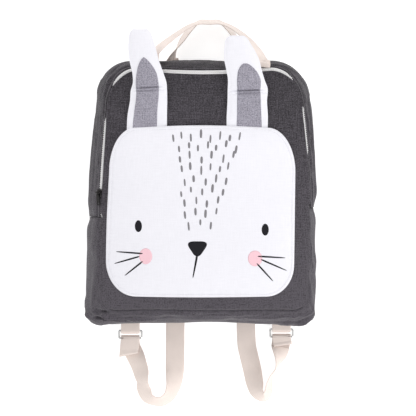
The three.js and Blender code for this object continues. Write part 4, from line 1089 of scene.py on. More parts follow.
def build_band(name, start, end, front_edge, zipped, row_count, **cloth):
    """A side band between two cuts, from the back seam to its edge at the front."""
    arounds = arounds_between(start + NOTCH_GAP, end - NOTCH_GAP)
    across = between_rows(seam_clear(arounds, 1, 1), front_edge(arounds), edge_shares(row_count))
    return put_skin(name, arounds, across, CANVAS_WALL, lambda *place: band_relief(*place, zipped=zipped),
                    MATERIALS["canvas"], False, **cloth)


def build_upper_band():
    """Upper side band, from notch to notch over the top, between the back seam and the zip."""
    return build_band("gusset_upper_cloth", NOTCH_RIGHT, NOTCH_LEFT,
                      lambda arounds: zip_cover(arounds, -1), True,
                      BAND_ROWS["upper"], growth=0.012, push=0.0, most=0.8)


def build_lower_band():
    """Lower side band, round the bottom, between the back seam and the front seam."""
    return build_band("gusset_lower_cloth", NOTCH_LEFT, STRETCHES + NOTCH_RIGHT,
                      lambda arounds: np.full(arounds.shape, 2.0 - SEWN_GAP), False,
                      BAND_ROWS["lower"], growth=0.02, push=0.0, most=1.2)


# Beads: stitches and zip teeth. Places along a bead and its width there, as shares of its length and radius

BEAD_PLACES, BEAD_WIDTHS, BEAD_SIDES = (-0.5, -0.36, 0.36, 0.5), (0.45, 1, 1, 0.45), 6


def put_beads(name, centres, ways, length, radius, material):
    """Short capsules: rings of a cylinder along each way, narrower at the ends, closed by caps."""
    ways = unit(np.asarray(ways, float))
    helper = np.where(np.abs(ways[:, 2:3]) > 0.9, np.array([[1.0, 0, 0]]), np.array([[0, 0, 1.0]]))
    side = unit(np.cross(ways, helper))
    rise = np.cross(side, ways)
    turn = full_turn(BEAD_SIDES)
    places, widths = np.array(BEAD_PLACES), np.array(BEAD_WIDTHS)
    round_way = side[:, None] * np.cos(turn)[None, :, None] + rise[:, None] * np.sin(turn)[None, :, None]
    points = (centres[:, None, None] + ways[:, None, None] * (places[:, None, None] * length)
              + round_way[:, None] * (widths[:, None, None] * radius))
    index = np.arange(len(centres) * places.size * BEAD_SIDES).reshape(len(centres), places.size, BEAD_SIDES)
    caps = np.concatenate([index[:, 0, ::-1], index[:, -1]]).tolist()
    uvs = np.stack([places * length, places * 0], axis=-1)[None, :, None]
    uvs = np.broadcast_to(uvs, points.shape[:3] + (2,))
    return put_mesh(name, points, strip_quads(index, np.roll(index, -1, axis=2)), uvs, material, caps)


def along_path(path, pitch, normals=None):
    """Places, directions and, where normals are given, normals every pitch along a run of points."""
    run = running_length(path)
    count = max(int(run[-1] / pitch), 1)
    at = (np.arange(count) + 0.5) * run[-1] / count

    def read(values, offset=0.0):
        return np.stack([np.interp(at + offset, run, values[:, k]) for k in range(3)], axis=-1)

    return read(path), read(path, 0.3) - read(path, -0.3), None if normals is None else read(normals)


# Zip

def zip_line(share, arounds):
    """Points and normals of a line along the zip at a share of the tape's width."""
    edge = zip_edge(arounds)
    across = edge + (2 - edge) * share
    return skin(arounds, across), wall_normal(arounds, across)


# Zip teeth: pitch, how far each stands to its side and up, how it leans, its length and its radius
TOOTH_PITCH, TOOTH_OUT, TOOTH_UP, TOOTH_LEAN, TOOTH_LENGTH, TOOTH_RADIUS = 1.05, 0.55, 0.42, 0.25, 2.3, 0.46


def build_zip():
    """Zip tape: two flat strips just under the skin, with a shallow ridge in the middle that carries the
    teeth."""
    arounds = arounds_between(NOTCH_RIGHT + NOTCH_GAP, NOTCH_LEFT - NOTCH_GAP)
    shares = np.linspace(0, 1, 21)
    across = between_rows(seam_clear(arounds, zip_edge(arounds), 1), seam_clear(arounds, 2, -1), shares)

    def relief(around, across, base, lengths):
        middle = np.abs(shares - 0.5)[None] * ZIP_TAPE_WIDTH
        ridge = RIDGE_HEIGHT * np.exp(-(middle / RIDGE_WIDTH) ** 4)
        uneven = TAPE_UNEVEN * ripple(lengths[..., 0], lengths[..., 1], TAPE_WAVELENGTH, 31)
        return ridge + uneven - TAPE_DROP - zip_sunk(around)

    tape = put_skin("zip_tape_cloth", arounds, across, ZIP_TAPE_WALL - 0.3, relief, MATERIALS["zip_tape"],
                    False)
    fine = arounds_between(NOTCH_RIGHT + 0.02, NOTCH_LEFT - 0.012)
    line, normals = zip_line(0.5, fine)
    line = line - normals * zip_sunk(fine)[:, None]
    places, ways, ups = along_path(line, TOOTH_PITCH, normals)
    ups, ways = unit(ups), unit(ways)
    over = np.cross(ways, ups)
    side = np.where(np.arange(len(places)) % 2 == 0, 1.0, -1.0)[:, None]
    teeth = put_beads("zip_teeth", places + over * side * TOOTH_OUT + ups * TOOTH_UP,
                      over + side * ways * TOOTH_LEAN, TOOTH_LENGTH, TOOTH_RADIUS, MATERIALS["zip_coil"])
    return tape, teeth


# Face pocket

def pocket_place(x, y):
    """Place around the pocket's outline and share of the way in from it, by the angle from the pocket's
    middle."""
    arounds = np.linspace(0, STRETCHES, 2401)
    edge = girth_point("pocket", arounds) - np.array(POCKET_CENTRE)
    angles = np.unwrap(np.arctan2(edge[:, 1], edge[:, 0]))
    angle = np.arctan2(y - POCKET_CENTRE[1], x - POCKET_CENTRE[0])
    turn = 2 * math.pi
    angle = angles[0] + np.mod(angle - angles[0], turn)
    radius = np.interp(angle, angles, np.linalg.norm(edge, axis=-1))
    reach = np.hypot(x - POCKET_CENTRE[0], y - POCKET_CENTRE[1])
    return np.interp(angle, angles, arounds), 1 - reach / radius, radius - reach


# How far down from the pocket's top its mouth stands open and over what run, as shares of its height, and
# how sharply its fullness starts at the rim
MOUTH_REACH, MOUTH_RUN, FULLNESS_POWER = 0.28, 0.2, 4


def pocket_floor(x, y, share):
    """Height of the pocket's inside: the panel, a gap, room for the ears at the mouth and the pocket's
    fullness."""
    top = POCKET_CENTRE[1] + POCKET_HEIGHT / 2
    mouth = POCKET_MOUTH * smooth((y - (top - MOUTH_REACH * POCKET_HEIGHT)) / (MOUTH_RUN * POCKET_HEIGHT))
    return front_height(x, y) + PIECE_GAP + mouth + POCKET_FULLNESS * (1 - (1 - share) ** FULLNESS_POWER)


def pocket_relief(x, y, around, distance):
    """Cotton: a rounded rim, a dent along the stitches, puckers across them and slow unevenness."""
    rim = raised(distance, *POCKET_RIM)
    dent = raised(distance, *POCKET_DENT, STITCH_INSET) + raised(distance, *POCKET_WELT)
    waves = np.sin(around * POCKET_PUCKERS + 2 * np.sin(around * POCKET_SWAY))
    pucker = POCKET_PUCKER * waves * bell(distance, POCKET_PUCKER_REACH, POCKET_PUCKER_REACH)
    return rim + dent + pucker + unevenness("pocket", x, y) * smooth((distance - 2) / 16)


def pocket_height(x, y):
    """Height of the pocket's outside at any place on it."""
    around, share, distance = pocket_place(x, y)
    drift = sample_drift(around, share)
    return pocket_floor(x, y, share) + POCKET_WALL + pocket_relief(x, y, around, distance) + drift


POCKET_ROWS = np.linspace(0, 1, 64) ** 1.3
STITCH_INSET, STITCH_PITCH, STITCH_LENGTH, STITCH_RADIUS, STITCH_LIFT = 3.6, 2.9, 2.1, 0.24, 0.08
# Details of the pocket's edge: height in millimetres, reach, and distance of the middle from the rim
POCKET_RIM, POCKET_DENT, POCKET_WELT = (-1.1, 0.9), (-0.55, 0.75), (0.3, 1.0, 1.9)
# Puckers of the pocket's edge: height, radians of puckers and of their sway for one stretch around, reach
POCKET_PUCKER, POCKET_PUCKERS, POCKET_SWAY, POCKET_PUCKER_REACH = 0.2, 78, 9, 4.5
# The pocket's simulated cloth: growth, push and the most it moves
POCKET_GROWTH, POCKET_PUSH, POCKET_MOST = 0.015, 0.12, 1.1
DRIFT = {}


def sample_drift(around, share):
    """Height that the cloth simulation added, read between the points of its grid."""
    if "pocket" not in DRIFT:
        return np.zeros(np.shape(around))
    closed = np.concatenate([DRIFT["pocket"], DRIFT["pocket"][:1]])
    column = np.interp(np.mod(around, STRETCHES), np.append(ALL_AROUND, STRETCHES), np.arange(len(closed)))
    return read_between(closed, column, np.interp(share, POCKET_ROWS, np.arange(len(POCKET_ROWS))))


def pocket_grid():
    """Plane grid of the pocket: every outline point drawn in to the middle."""
    edge = girth_point("pocket", ALL_AROUND)[:, None]
    share = POCKET_ROWS[None, :, None]
    return edge + (np.array(POCKET_CENTRE) - edge) * share


def build_pocket():
    """Face pocket: a cotton wall over the panel, with its rim turned under and a row of stitches inside
    it."""
    plane = pocket_grid()
    x, y = plane[..., 0], plane[..., 1]
    rest = np.stack([x, y, pocket_height(x, y)], axis=-1)
    rim = edge_distances(rest)[0]
    moved = settle("face_pocket_sheet", rest, True, rim < HELD_RIM, POCKET_GROWTH, POCKET_PUSH)[..., 2]
    DRIFT["pocket"] = soft_limit(moved - moved.mean() * 0.6, POCKET_MOST) * smooth((rim - 3) / 8)
    top = pocket_height(x, y)
    bottom = pocket_floor(x, y, np.broadcast_to(POCKET_ROWS[None], x.shape))
    outer, inner = (np.stack([x, y, z], axis=-1) for z in (top, np.minimum(bottom, top - 0.9)))
    pocket = put_wall("face_pocket_cloth", outer, inner, plane, MATERIALS["cotton"], loop=True)
    return pocket, build_pocket_stitches()


def inset_path(arounds, inset):
    """Points on the pocket at a distance in from its rim."""
    edge = girth_point("pocket", arounds)
    middle = np.array(POCKET_CENTRE)
    reach = np.linalg.norm(edge - middle, axis=-1, keepdims=True)
    plane = middle + (edge - middle) * (1 - inset / reach)
    return np.concatenate([plane, pocket_height(plane[:, 0], plane[:, 1])[:, None]], axis=-1)


def build_pocket_stitches():
    """Stitches of the pocket: capsules along the dent, each half sunk in the cotton."""
    path = inset_path(np.linspace(0, STRETCHES, 1200), STITCH_INSET)
    places, ways, _ = along_path(path, STITCH_PITCH)
    places = places + np.array([0, 0, STITCH_LIFT])
    return put_beads("pocket_stitches", places, ways, STITCH_LENGTH, STITCH_RADIUS, MATERIALS["thread"])


# Face print, laid on the pocket. Places are millimetres from the bag's middle.

EYES = ((-69.3, -36.8), (70.2, -40.6))
EYE_SIZE = (3.9, 6.5)
CHEEKS = ((-61.3, -69.9, 7.2, 8.8), (59.1, -72.3, 7.9, 8.7))
NOSE, NOSE_ROUNDING = ((-18.2, -53.4), (9.6, -53.4), (-4.5, -74.0)), 0.38
# Heights of a print's top and bottom over the cloth
PRINT_LIFTS = (0.1, -0.12)
MOUTH = ((-4.6, -67.9), (-5.9, -75.5), (-7.6, -84.5), (-9.4, -93.8))
WHISKERS = (((-64.5, -67.0), (-94.2, -64.9)), ((-68.1, -70.1), (-96.2, -78.2)), ((-64.5, -75.4),
            (-84.7, -91.5)), ((61.8, -69.9), (92.5, -71.8)), ((65.3, -73.3), (94.2, -85.9)), ((60.9, -77.7),
            (79.2, -97.7)))
# Forehead dashes: height of a row, its left and right ends, how many
DASH_ROWS = ((61.3, -31.5, 41.4, 8), (50.3, -24.5, 38, 7), (38.9, -23.9, 35, 6), (27.2, -21.5, 30, 6),
             (14, -19, 27, 5), (2, -22.5, 24, 5), (-10.2, -18, 19.4, 4), (-22.3, -18.5, 17, 4),
             (-34, -13, 10, 3))
# The point that the dashes lean towards and how strongly, how far each strays and every other one is
# staggered, their lengths and widths, and the width along a dash as shares of its own
DASH_AIM, DASH_LEAN = (-2.0, -150.0), 0.85
DASH_STRAY, DASH_STAGGER = (1.0, 1.4), 2.2
DASH_LENGTHS, DASH_WIDTHS, DASH_SHAPE = (6.2, 10.2), (1.9, 2.8), (0.9, 1.05, 0.85)
# Pen strokes: widths along the mouth and the whiskers
MOUTH_WIDTHS, WHISKER_WIDTHS = (2.6, 2.2, 1.7, 1.3), (1.9, 1.7, 1.1)


def oval_grid(x, y, half_wide, half_tall, columns=48, rows=7):
    """Grid from the rim of an oval to its middle."""
    edge = np.array([half_wide, half_tall]) * circle(full_turn(columns))
    return np.array([x, y]) + edge[:, None] * (1 - np.linspace(0, 1, rows))[None, :, None]


def nose_grid(corners, round_off, columns=72, rows=7):
    """Grid of a triangle with rounded corners: each corner turned by a quadratic curve between its two
    sides."""
    points = []
    for k in range(3):
        corner = np.array(corners[k])
        before, after = np.array(corners[k - 1]), np.array(corners[(k + 1) % 3])
        start, end = corner + (before - corner) * round_off, corner + (after - corner) * round_off
        t = np.linspace(0, 1, columns // 3, endpoint=False)[:, None]
        points.append((1 - t) ** 2 * start + 2 * t * (1 - t) * corner + t ** 2 * end)
    edge = np.concatenate(points)
    middle = edge.mean(axis=0)
    share = np.linspace(0, 1, rows)[None, :, None]
    return edge[:, None] + (middle - edge[:, None]) * share


def stroke_grid(path, widths, columns=24, rows=5):
    """Grid of a pen stroke: a curve through the path, as wide as the widths, rounded at both ends."""
    path, t = np.array(path, float), cosine_shares(columns)
    if len(path) == 2:
        path = np.array([path[0], path.mean(axis=0), path[1]])
    knots = np.linspace(0, 1, len(path))
    line = np.stack([curve(t, knots, path[:, k]) for k in range(2)], axis=-1)
    side = unit(np.gradient(line, axis=0))[:, ::-1] * np.array([-1, 1])
    rounded = np.sqrt(np.clip(1 - np.abs(2 * t - 1) ** 6, 0.002, 1))
    half = np.interp(t, np.linspace(0, 1, len(widths)), widths) / 2 * rounded
    return line[:, None] + side[:, None] * (np.linspace(-1, 1, rows)[None, :] * half[:, None])[..., None]


def put_print(name, grids, loop, material):
    """Print: thin closed shapes that follow the pocket's cloth a hair above it."""
    points, faces, uvs, start = [], [], [], 0
    for grid in grids:
        height = pocket_height(grid[..., 0], grid[..., 1])
        for lift in PRINT_LIFTS:
            points.append(np.concatenate([grid, (height + lift)[..., None]], axis=-1).reshape(-1, 3))
            uvs.append(grid.reshape(-1, 2))
        faces.append(wall_faces(grid.shape[0], grid.shape[1], loop) + start)
        start += 2 * grid.shape[0] * grid.shape[1]
    return put_mesh(name, np.concatenate(points), np.concatenate(faces), np.concatenate(uvs), material)


def dash_grids():
    """Forehead dashes: rows that get shorter downwards, each dash leaning towards the nose."""
    rng = np.random.default_rng(5)
    grids = []
    for height, left, right, count in DASH_ROWS:
        for k in range(count):
            x = left + (right - left) * k / (count - 1) + rng.uniform(-DASH_STRAY[0], DASH_STRAY[0])
            y = height + rng.uniform(-DASH_STRAY[1], DASH_STRAY[1])
            y += DASH_STAGGER if k % 2 else -DASH_STAGGER
            way = unit(np.array([(DASH_AIM[0] - x) * DASH_LEAN, DASH_AIM[1] - y]))
            half = rng.uniform(*DASH_LENGTHS) / 2
            middle, wide = np.array([x, y]), rng.uniform(*DASH_WIDTHS)
            grids.append(stroke_grid((middle - way * half, middle + way * half),
                                     [wide * share for share in DASH_SHAPE], columns=14, rows=3))
    return grids


def build_print():
    """The rabbit's eyes, nose, mouth and whiskers, cheeks and forehead dashes."""
    strokes = [stroke_grid(MOUTH, MOUTH_WIDTHS)] + [stroke_grid(pair, WHISKER_WIDTHS) for pair in WHISKERS]
    prints = (
        ("eyes_print", [oval_grid(x, y, *EYE_SIZE) for x, y in EYES], True, "ink"),
        ("nose_print", [nose_grid(NOSE, NOSE_ROUNDING)], True, "ink"),
        ("mouth_and_whiskers_print", strokes, False, "ink"),
        ("cheeks_print", [oval_grid(*cheek) for cheek in CHEEKS], True, "cheek"),
        ("forehead_print", dash_grids(), False, "dash_ink"),
    )
    return [put_print(name, grids, loop, MATERIALS[ink]) for name, grids, loop, ink in prints]


# Ears

# Grooves and swellings across an ear at its crease: place along the ear, height in millimetres, reach
EAR_GROOVES = ((0.44, -2.5, 0.007), (0.41, -1.7, 0.0075), (0.425, 0.6, 0.007), (0.47, 0.5, 0.05))
# Stretches along an ear with their samples, closest at the crease, and the last stretch, which crowds at
# the tip
EAR_RUNS, EAR_TIP_RUN = ((0, 0.34, 26), (0.34, 0.5, 60), (0.5, 0.93, 50)), (0.07, 14)
# Points across an ear, across a patch and along a patch
EAR_ACROSS, PATCH_ACROSS, PATCH_ALONG = 41, 25, 120
# Thickness of a patch at its root and how much it gains, and its top's and underside's distance from the ear
PATCH_THIN, PATCH_GAIN, PATCH_OVER, PATCH_UNDER = 0.35, 0.4, 0.12, 0.05
# Slant of the crease, how much of a groove is left at the ear's sides, and the share of its width over which
# it fades
CREASE_SLANT, GROOVE_LEFT, GROOVE_WIDTH = 0.012, 0.22, 0.66
# Where an ear starts to lift, to fill and to droop, each with its run
LIFT_START, LIFT_RUN, FILL_START, FILL_RUN, DROOP_START, DROOP_RUN = 0.1, 0.4, 0.11, 0.14, 0.6, 0.4
# The ear's rim seam and the patch's stitches: height in millimetres, reach, and distance of the middle
EAR_SEAM, PATCH_STITCH, PATCH_RIM = (-0.35, 1, 2.6), (-0.25, 0.5, 2.1), 0.5
# Ears' unevenness: heights and wavelengths in millimetres, and the share of it that shows
EAR_BROAD, EAR_FINE, EAR_UNEVEN = (0.55, 48), (0.2, 15), 0.8


def ear_floor(x, y, along):
    """Underside of an ear: it is carried by the panel, lifts off behind the crease and droops to its
    tip."""
    carried = front_height(x, np.minimum(y, 0.375 * BODY_HEIGHT))
    droop = EAR_DROOP * smooth((along - DROOP_START) / DROOP_RUN) ** 2
    dip = 0.28 * EAR_LIFT * bell(along, 0.03, EAR_CREASE)
    return carried + PIECE_GAP + EAR_LIFT * smooth((along - LIFT_START) / LIFT_RUN) - dip - droop


def ear_outline(rows, along, column):
    """An edge of an outline at places along the ear, from a column of its table."""
    table = np.array(rows)
    return curve(along, table[:, 0], table[:, column])


def ear_top(ear, x, y, along):
    """Top of an ear: its wall, its padding, which is fullest along its middle, and its crease, narrow
    grooves that slant up to the right."""
    left, right = ear_outline(ear["outline"], along, 1), ear_outline(ear["outline"], along, 2)
    off_axis = (2 * (x - ear["x"]) / EAR_WIDTH - left - right) / (right - left)
    padding = EAR_PADDING * smooth((along - FILL_START) / FILL_RUN) * (1 - off_axis ** 2)
    slant = along - CREASE_SLANT * off_axis
    groove = sum(height * bell(slant, reach, place) for place, height, reach in EAR_GROOVES)
    groove = groove * (GROOVE_LEFT + (1 - GROOVE_LEFT) * np.exp(-(off_axis / GROOVE_WIDTH) ** 4))
    broad, fine = ripple(x, y, EAR_BROAD[1], ear["seed"]), ripple(x, y, EAR_FINE[1], 45)
    soft = EAR_BROAD[0] * broad + EAR_FINE[0] * fine
    rim = (1 - np.abs(off_axis)) * EAR_WIDTH / 2 / 1.1
    seam = raised(rim, *EAR_SEAM) * smooth((along - LIFT_START) / 0.1)
    top = ear_floor(x, y, along) + EAR_ROOT_WALL + padding + groove + seam
    return top + soft * smooth(along / 0.15) * EAR_UNEVEN


def ear_plane(ear, rows, alongs, shares):
    """Plane grid between the outline's edges, with how far along the ear each point lies."""
    left, right = ear_outline(rows, alongs, 1), ear_outline(rows, alongs, 2)
    x = ear["x"] + EAR_WIDTH * (left[None] + (right - left)[None] * shares[:, None])
    along = np.broadcast_to(alongs, x.shape)
    return x, EAR_ROOT_Y + EAR_LENGTH * ear["reach"] * along, along


def build_ear(side):
    """Ear: a padded flap whose top and bottom meet in a rounded rim."""
    ear, shares, (tip, count) = EARS[side], cosine_shares(EAR_ACROSS), EAR_TIP_RUN
    alongs = np.concatenate([np.linspace(*run)[:-1] for run in EAR_RUNS]
                            + [1 - tip * (1 - np.linspace(0, 1, count)) ** 2])
    x, y, along = ear_plane(ear, ear["outline"], alongs, shares)
    top, floor = ear_top(ear, x, y, along), ear_floor(x, y, along)
    full = np.clip(1 - np.abs(2 * shares - 1) ** 5, 0, 1) ** 0.5
    end = np.clip(1 - ((alongs - 0.955) / 0.045).clip(0, 1) ** 2, 0, 1) ** 0.5
    middle = floor + EAR_ROOT_WALL * 0.55
    upper, lower = (np.stack([x, y, middle + (z - middle) * full[:, None] * end[None]], axis=-1)
                    for z in (top, floor))
    return put_wall(f"ear_{side}_cloth", upper, lower, upper[..., :2], MATERIALS["cotton"])


def build_patch(side):
    """Grey patch: a thin wall that follows the ear's top, with its rim turned under and stitched."""
    ear, shares = EARS[side], cosine_shares(PATCH_ACROSS)
    first, last = ear["patch"][0][0], ear["patch"][-1][0]
    alongs = first + (last - first) * (1 - (1 - np.linspace(0, 1, PATCH_ALONG)) ** 1.1)
    x, y, along = ear_plane(ear, ear["patch"], alongs, shares)
    width = EAR_WIDTH * (ear_outline(ear["patch"], alongs, 2) - ear_outline(ear["patch"], alongs, 1))
    rim = np.minimum(np.minimum(shares[:, None], 1 - shares[:, None]) * width[None],
                     np.minimum(alongs - first, last - alongs)[None] * EAR_LENGTH)
    thick = PATCH_THIN + PATCH_GAIN * smooth((along - LIFT_START) / 0.1)
    rise = thick * (1 - bell(rim, PATCH_RIM)) + raised(rim, *PATCH_STITCH)
    base = ear_top(ear, x, y, along)
    upper, lower = (np.stack([x, y, z], axis=-1) for z in (base + PATCH_OVER + rise, base - PATCH_UNDER))
    return put_wall(f"ear_patch_{side}_cloth", upper, lower, upper[..., :2], MATERIALS["grey"])


# Webbing

# Points round the section of webbing and how squared off it is across and through, points round a fold, on
# a flap and under the back, and how far a strap's hidden end stays inside the bag's lower edge
PROFILE_POINTS, PROFILE_POWERS = 28, (0.35, 0.55)
FOLD_POINTS, FLAP_POINTS, UNDER_POINTS, HIDDEN_END = 19, 9, 40, 5
# Webbing's unevenness: wavelength and the most it rises, and how sharply the slant of a cut starts
WEBBING_WAVELENGTH, WEBBING_MOST, SLANT_POWER = 34, 0.05, 1.5
# Seeds of the webbing's unevenness
SEEDS = {"handle": 61, "strap": 63, "tab": 66}
# A ribbon's end cap: share of the way in to the middle, and the hem's extra thickness and how fast it
# starts
CAP_SHARE, HEM_RISE, HEM_START, HEM_LENGTH = 0.96, 0.9, 0.8, 3.6


def smooth_stations(rows, steps):
    """Cubic through stations: each stretch weighs its four nearest stations by powers of the share along
    it."""
    rows = np.asarray(rows, float)
    padded = np.concatenate([rows[:1], rows, rows[-1:]])
    t = np.arange(steps)[None, :, None] / steps
    a, b, c, d = (padded[k:k + len(rows) - 1][:, None] for k in range(4))
    inside = 0.5 * (2 * b + (c - a) * t + (2 * a - 5 * b + 4 * c - d) * t ** 2
                    + (3 * b - a - 3 * c + d) * t ** 3)
    return np.concatenate([inside.reshape(-1, rows.shape[1]), rows[-1:]])


def webbing_profile():
    """Cross-section of webbing: a flat strip with round edges."""
    section = squared_off(circle(full_turn(PROFILE_POINTS)), np.array(PROFILE_POWERS))
    return section[:, 0] * WEBBING_WIDTH / 2, section[:, 1] * WEBBING_WALL / 2


def put_ribbon(name, stations, facings, seed, wave=0.12, slant=0.0, hem=0.0):
    """Webbing swept along its stations: the profile is turned by each station's tilt, with a cap at both
    ends. Its last stretch can be cut on a slant and end in a thicker hem."""
    centre, tilt = stations[:, :3], np.radians(stations[:, 3])
    before, after = np.concatenate([centre[:1], centre[:-1]]), np.concatenate([centre[1:], centre[-1:]])
    tangent = unit(after - before)
    level = unit(tangent[:, [1, 0, 2]] * np.array([1, -1, 0]))
    fixed = ~np.isnan(facings[:, 0])
    level[fixed, :2] = facings[fixed]
    wide_way = level * np.cos(tilt)[:, None] + np.array([0, 0, 1.0]) * np.sin(tilt)[:, None]
    face = unit(np.cross(wide_way, tangent))
    side = np.cross(tangent, face)
    wide, thick = webbing_profile()
    run = running_length(centre)
    uneven = wave * ripple(run[:, None], wide[None], WEBBING_WAVELENGTH, seed)
    left_over = run[-1] - run
    if hem:
        thick = thick[None] * (1 + HEM_RISE * smooth((hem - left_over) / HEM_START))[:, None]
    rings = (centre[:, None] + side[:, None] * wide[None, :, None]
             + face[:, None] * (thick + np.minimum(uneven, WEBBING_MOST))[..., None])
    ramp = np.clip(1 - left_over / FLAP_LENGTH, 0, 1) ** SLANT_POWER
    rings = rings + tangent[:, None] * (slant * ramp[:, None] * wide[None])[..., None]
    caps = rings[[0, -1]] * (1 - CAP_SHARE) + rings[[0, -1]].mean(axis=1, keepdims=True) * CAP_SHARE
    rings = np.concatenate([caps[:1], rings, caps[1:]])
    index = np.arange(rings.shape[0] * rings.shape[1]).reshape(rings.shape[:2])
    ahead = np.roll(index, -1, axis=1)
    long = np.concatenate([[0], run, run[-1:]])
    uvs = np.stack(np.broadcast_arrays(long[:, None], wide[None]), axis=-1)
    return put_mesh(name, rings, quads_of(index[:-1], ahead[:-1], ahead[1:], index[1:]), uvs,
                    MATERIALS["webbing"], [index[0, ::-1].tolist(), index[-1].tolist()])


def free_facings(count):
    """Facings for stations whose webbing lies level across its own way."""
    return np.full((count, 2), np.nan)


def around_on_top(x):
    """The place round the front girth's top side that lies at a given x."""
    start, end = girth_point("front", np.array([4.0, 4.99999]))[:, 0]
    return 4 + (x - start) / (end - start)


def handle_stations(kind, rise, steps):
    """A carry handle: half a table, mirrored about its highest point, sewn at its ends to the band or the
    back."""
    half, span = HANDLE_HALF[kind], HANDLE_SPAN[kind]

    def place(row, side):
        out, up, seat, tilt = row
        x, y = HANDLE_CENTRE_X + side * out * span / 2, 0.5 * BODY_HEIGHT + up * rise
        if side < 0:
            x = x - HANDLE_LEAN[kind] * (1 - smooth(up / 0.7))
        clear = PIECE_GAP + WEBBING_WALL / 2
        if seat == "zip":
            around = np.array([around_on_top(x)])
            edge = zip_edge(around)
            across = edge - across_step(around, edge, 1)
            spot = (skin(around, across) + wall_normal(around, across) * clear)[0]
            return (x, spot[1], spot[2], tilt)
        if seat == "back":
            lowest = min(float(back_height(x + off, y)) for off in (-WEBBING_WIDTH / 2, WEBBING_WIDTH / 2))
            return (x, y, lowest - clear, tilt)
        return (x, y, seat * BODY_DEPTH, tilt)

    top = (0,) + half[-1][1:]
    rows = [place(row, -1) for row in half] + [place(top, 1)] + [place(row, 1) for row in reversed(half)]
    return smooth_stations(rows, steps)


def build_handle(kind, steps):
    """A carry handle of webbing."""
    stations = handle_stations(kind, HANDLE_RISE + (BACK_HANDLE_EXTRA if kind == "back" else 0), steps)
    return put_ribbon(f"handle_{kind}_webbing", stations, free_facings(len(stations)), SEEDS["handle"])


def rest_height(tilt):
    """Height of the middle of tilted webbing whose lower edge rests on the floor."""
    angle = np.radians(tilt)
    return np.abs(np.sin(angle)) * WEBBING_WIDTH / 2 + np.cos(angle) * WEBBING_WALL / 2


def fold_stations(ring, side, reach=0.0, turn_out=0.0):
    """A fold of webbing round one bar of a ring: a half circle up through the slot, then back over the
    bar."""
    bar_y = ring[1] - side * RING_PITCH / 2
    angle, flat = np.radians(np.linspace(-90, 90, FOLD_POINTS)), np.zeros(FOLD_POINTS)
    arc = np.stack([flat + ring[0], bar_y + side * FOLD_RADIUS * np.cos(angle),
                    RING_HEIGHT + FOLD_RADIUS * np.sin(angle), flat], axis=-1)
    share = np.linspace(0, 1, FLAP_POINTS)[1:]
    over = np.stack([ring[0] + turn_out * reach * share, bar_y - side * reach * share,
                     RING_HEIGHT + FOLD_RADIUS * (1 - 0.12 * share), np.zeros(share.size)], axis=-1)
    return np.concatenate([arc, over]) if reach else arc


def build_strap(side, steps):
    """A shoulder strap: it lies under the back, comes out below, turns back and folds over its ring."""
    leg = STRAP_CENTRE_X + (-1 if side == "left" else 1) * STRAP_LEG_HALF_GAP
    ring, route = RING_PLACE[side], np.array(STRAP_ROUTE[side], float)
    rows = np.stack([PHOTO_AIM[0] + (route[:, 0] - PHOTO_MIDDLE[0]) * FLOOR_SCALE,
                     PHOTO_AIM[1] - (route[:, 1] - PHOTO_MIDDLE[1]) * FLOOR_SCALE,
                     np.zeros(len(route)), route[:, 2]], axis=-1)
    rows[0, 0] = leg
    free = smooth_stations(rows, steps)
    free[:, 2] = rest_height(free[:, 3])
    under = np.tile((leg, 0.0, WEBBING_WALL / 2, 0.0), (UNDER_POINTS, 1))
    under[:, 1] = np.linspace(STRAP_ANCHOR, BOTTOM_EDGE + HIDDEN_END, UNDER_POINTS)
    near = ring[1] - RING_PITCH / 2
    approach = np.array([[ring[0], near - away, WEBBING_WALL / 2, 0] for away in (5.0, 2.5)])
    share, lean, slant = FLAP[side]
    fold = fold_stations(ring, 1, share * FLAP_LENGTH, lean)
    stations = np.concatenate([under, free, approach, fold])
    facings = free_facings(len(stations))
    facings[len(under) + len(free):] = (1, 0)
    return put_ribbon(f"strap_{side}_webbing", stations, facings, SEEDS["strap"], slant=slant,
                      hem=HEM_LENGTH)


def build_tab(side):
    """The short tab that ties a ring to the bottom seam, folded round the ring's upper bar."""
    ring = RING_PLACE[side]
    folded = fold_stations(ring, -1)
    share = np.linspace(0, 1, 8)[:, None]
    low, high = (np.array([ring[0], BOTTOM_EDGE + 4, height, 0])
                 for height in (WEBBING_WALL / 2 + 0.2, RING_HEIGHT + FOLD_RADIUS + 0.4))
    stations = np.concatenate([low + (folded[0] - low) * share[:-1], folded,
                               folded[-1] + (high - folded[-1]) * share[1:]])
    facings = np.tile((-1.0, 0.0), (len(stations), 1))
    return put_ribbon(f"strap_tab_{side}_webbing", stations, facings, SEEDS["tab"], wave=0.05)


# Metal

LOOP_SIDES, LOOP_POWER, LOOP_STEPS, RING_CORNER = 20, 0.9, 7, 1.6
CORNER_SIGNS = ((1, -1), (1, 1), (-1, 1), (-1, -1))


def put_loop(name, path, half, material):
    """A bar swept round a closed path in a level plane: its section is a circle, squared off a little."""
    up = np.array([0, 0, 1.0])
    out = np.cross(unit(np.roll(path, -1, axis=0) - np.roll(path, 1, axis=0)), up)
    section = squared_off(circle(full_turn(LOOP_SIDES)), LOOP_POWER) * half
    rings = path[:, None] + out[:, None] * section[None, :, :1] + up * section[None, :, 1:]
    index = np.arange(len(path) * LOOP_SIDES).reshape(len(path), LOOP_SIDES)
    ahead = np.roll(index, -1, axis=1)
    quads = quads_of(index, ahead, np.roll(ahead, -1, axis=0), np.roll(index, -1, axis=0))
    return put_mesh(name, rings, quads, np.zeros(rings.shape[:2] + (2,)), material)


